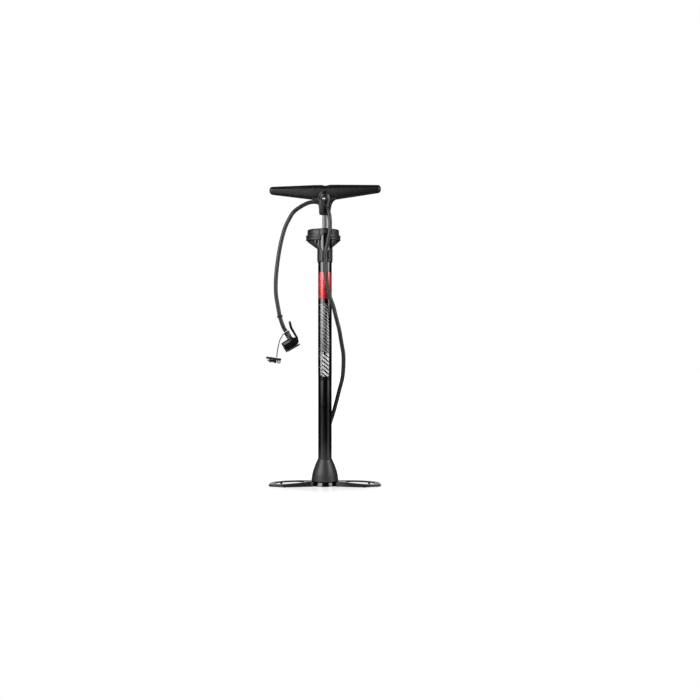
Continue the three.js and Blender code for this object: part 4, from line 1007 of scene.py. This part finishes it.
def add_adapters():
    spot = at(HOLDER_PLACE, tilt=HOLDER_TILT)
    drop = -5.5
    outline = [tuple(p) for p in eased([(-16.5, -2.3), (16.5, -2.3), (16.5, 2.3), (-16.5, 2.3)], 1.8)]
    bar = across("adapter_holder_visual", outline, -4, 4)
    clips = [moved(turned("clip", [(3.4, -1.6), (4.1, -1.6), (4.1, 1.6), (3.4, 1.6)], SMALL_ROUND, 0.2),
                   at((x, 0, drop), lay="X")) for x in (-7, 4)]
    clips.append(moved(turned("clip", [(3.2, -1.6), (4.1, -1.6), (4.1, 1.6), (3.2, 1.6)], SMALL_ROUND, 0.2),
                       at((12, 0, drop + 0.2), lay="Y")))
    combine(bar, clips, "UNION")
    rounded_edges(bar, 0.3)
    as_piece(moved(bar, spot), node="adapter_holder")
    nozzle = [(1, -13), (1.6, -13), (3, -4), (3, 4.5), (2.4, 5), (2.4, 5.6), (2.8, 6), (2.8, 6.6),
              (2.4, 7), (1, 7)]
    as_piece(moved(turned("cone_adapter_visual", nozzle, SMALL_ROUND, 0.15),
                   spot @ at((0, 0, drop), lay="X")), node="cone_adapter")
    needle = [(0, -14), (0.6, -13.8), (0.9, -13), (0.9, 6), (2.3, 7.2), (2.3, 12), (0, 12)]
    as_piece(moved(turned("ball_needle_visual", needle, SMALL_ROUND, 0.15), spot @ at((0, 7, -1.4), lay="X")),
             node="ball_needle")
    presta = [(1.2, -4), (2.5, -4), (2.9, -3.4), (2.9, 2), (2.3, 2.6), (2.3, 4), (1.2, 4)]
    as_piece(moved(turned("presta_adapter_visual", presta, SMALL_ROUND, 0.15),
                   spot @ at((12, 0, drop + 0.2), lay="Y")), node="presta_adapter")


# ---- Inner pieces stay as the CAD has them, in real materials, apart from the valve's spring ----

def dress_cad_nodes():
    for node, obj in frame["nodes"].items():
        obj.data.materials.clear()
        obj.data.materials.append(SURFACES[NODE_SLOTS[node]].material)


def add_valve_spring():
    """The coil under the ball, at one fixed length."""
    foot, top = SPRING_Z
    low, high, steps = foot + SPRING_WIRE / 2, top - SPRING_WIRE / 2, 32 * SPRING_TURNS
    line = []
    for i in range(steps + 1):
        a = 2 * pi * SPRING_TURNS * i / steps
        line.append(Vector((SPRING_R * cos(a), SPRING_R * sin(a), low + (high - low) * i / steps)) * MM)
    wire = piped("spring_wire", line, SPRING_WIRE, 3)
    coil = bpy.data.objects.new("valve_spring_visual", bpy.data.meshes.new_from_object(wire))
    bpy.data.objects.remove(wire)
    bpy.context.scene.collection.objects.link(coil)
    as_piece(coil, node="valve_spring")
    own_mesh(coil)


# ---- Studio ----

def area_light(name, place, aim, size, power):
    data = bpy.data.lights.new(name, "AREA")
    data.shape = "RECTANGLE"
    data.size, data.size_y = size
    data.energy = power
    light = bpy.data.objects.new(name, data)
    light.location = place
    light.rotation_euler = (Vector(aim) - Vector(place)).to_track_quat("-Z", "Y").to_euler()
    bpy.context.scene.collection.objects.link(light)


def glow_card(name, azimuth, width, strong):
    """An upright sheet of light beside the object, stronger with height, that the camera can't see."""
    distance, tall, weak = 1.4, 1.5, 0.5
    a = radians(azimuth)
    middle = Vector((sin(a), -cos(a), 0)) * distance
    side = Vector((cos(a), sin(a), 0)) * (width / 2)
    bm = bmesh.new()
    rise = Vector((0, 0, tall))
    corners = [middle - side, middle + side, middle + side + rise, middle - side + rise]
    bm.faces.new([bm.verts.new(corner) for corner in corners])
    card = finished(name, bm)
    s = Surface(name, Base_Color=(0, 0, 0, 1), Emission_Color=(1, 1, 1, 1))
    s.link(s.spread(s.axis("Z"), weak, strong, 0, 800), s.shader.inputs["Emission Strength"])
    card.data.materials.append(s.material)
    card.visible_camera = False


def add_world():
    """White to the camera; onto the object, dim light from all round and a glow from behind."""
    world = bpy.data.worlds.new("studio")
    bpy.context.scene.world = world
    world.use_nodes = True
    nodes, links = world.node_tree.nodes, world.node_tree.links
    path = nodes.new("ShaderNodeLightPath")
    coords = nodes.new("ShaderNodeTexCoord")
    split = nodes.new("ShaderNodeSeparateXYZ")
    glow = nodes.new("ShaderNodeMapRange")
    strongest = nodes.new("ShaderNodeMath")
    strongest.operation = "MAXIMUM"
    for key, value in (("From Min", 0.93), ("From Max", 0.98), ("To Min", 0.015), ("To Max", 0.45)):
        glow.inputs[key].default_value = value
    links.new(coords.outputs["Generated"], split.inputs[0])
    links.new(split.outputs["Y"], glow.inputs["Value"])
    links.new(glow.outputs[0], strongest.inputs[0])
    links.new(path.outputs["Is Camera Ray"], strongest.inputs[1])
    links.new(strongest.outputs[0], nodes["Background"].inputs["Strength"])
    nodes["Background"].inputs["Color"].default_value = (1, 1, 1, 1)


def add_floor():
    """White near the object and dark further out, with a white glow that only the camera sees."""
    bm = bmesh.new()
    bmesh.ops.create_grid(bm, x_segments=1, y_segments=1, size=12)
    floor = finished("floor", bm)
    s = Surface("floor_paint", Specular_IOR_Level=0.4, Emission_Color=(1, 1, 1, 1))
    s.roughness(s.spread(s.noise(0.01, 4), 0.12, 0.2))
    far = s.tree.nodes.new("ShaderNodeVectorMath")
    far.operation = "LENGTH"
    s.link(s.point, far.inputs[0])
    path = s.tree.nodes.new("ShaderNodeLightPath")
    white = s.mix(s.spread(s.noise(0.002, 4), 0, 1), (0.86, 0.86, 0.86), (0.9, 0.9, 0.9))
    s.color(s.mix(s.spread(far.outputs["Value"], 0, 1, 220, 480), white, (0, 0, 0)))
    glow = s.calc("MULTIPLY", s.spread(far.outputs["Value"], 0.42, 1, 60, 330), path.outputs["Is Camera Ray"])
    s.link(glow, s.shader.inputs["Emission Strength"])
    floor.data.materials.append(s.material)


def add_studio():
    add_world()
    add_floor()
    glow_card("left_card", -51, 1.15, 8)
    glow_card("right_card", 62, 0.9, 7)
    area_light("front_box", (-0.5, -2.8, 0.9), (0, 0, 0.4), (0.5, 0.5), 3)
    bpy.context.scene.view_settings.view_transform = "Standard"


add_camera()
dress_cad_nodes()
add_chuck()
add_hose_ring()
add_adapters()
add_cords()
add_base_plate()
add_cone()
add_feet()
add_outlet()
add_barrel()
add_housing()
add_gauge()
add_rod()
add_handle()
add_hook()
add_valve_spring()
add_studio()
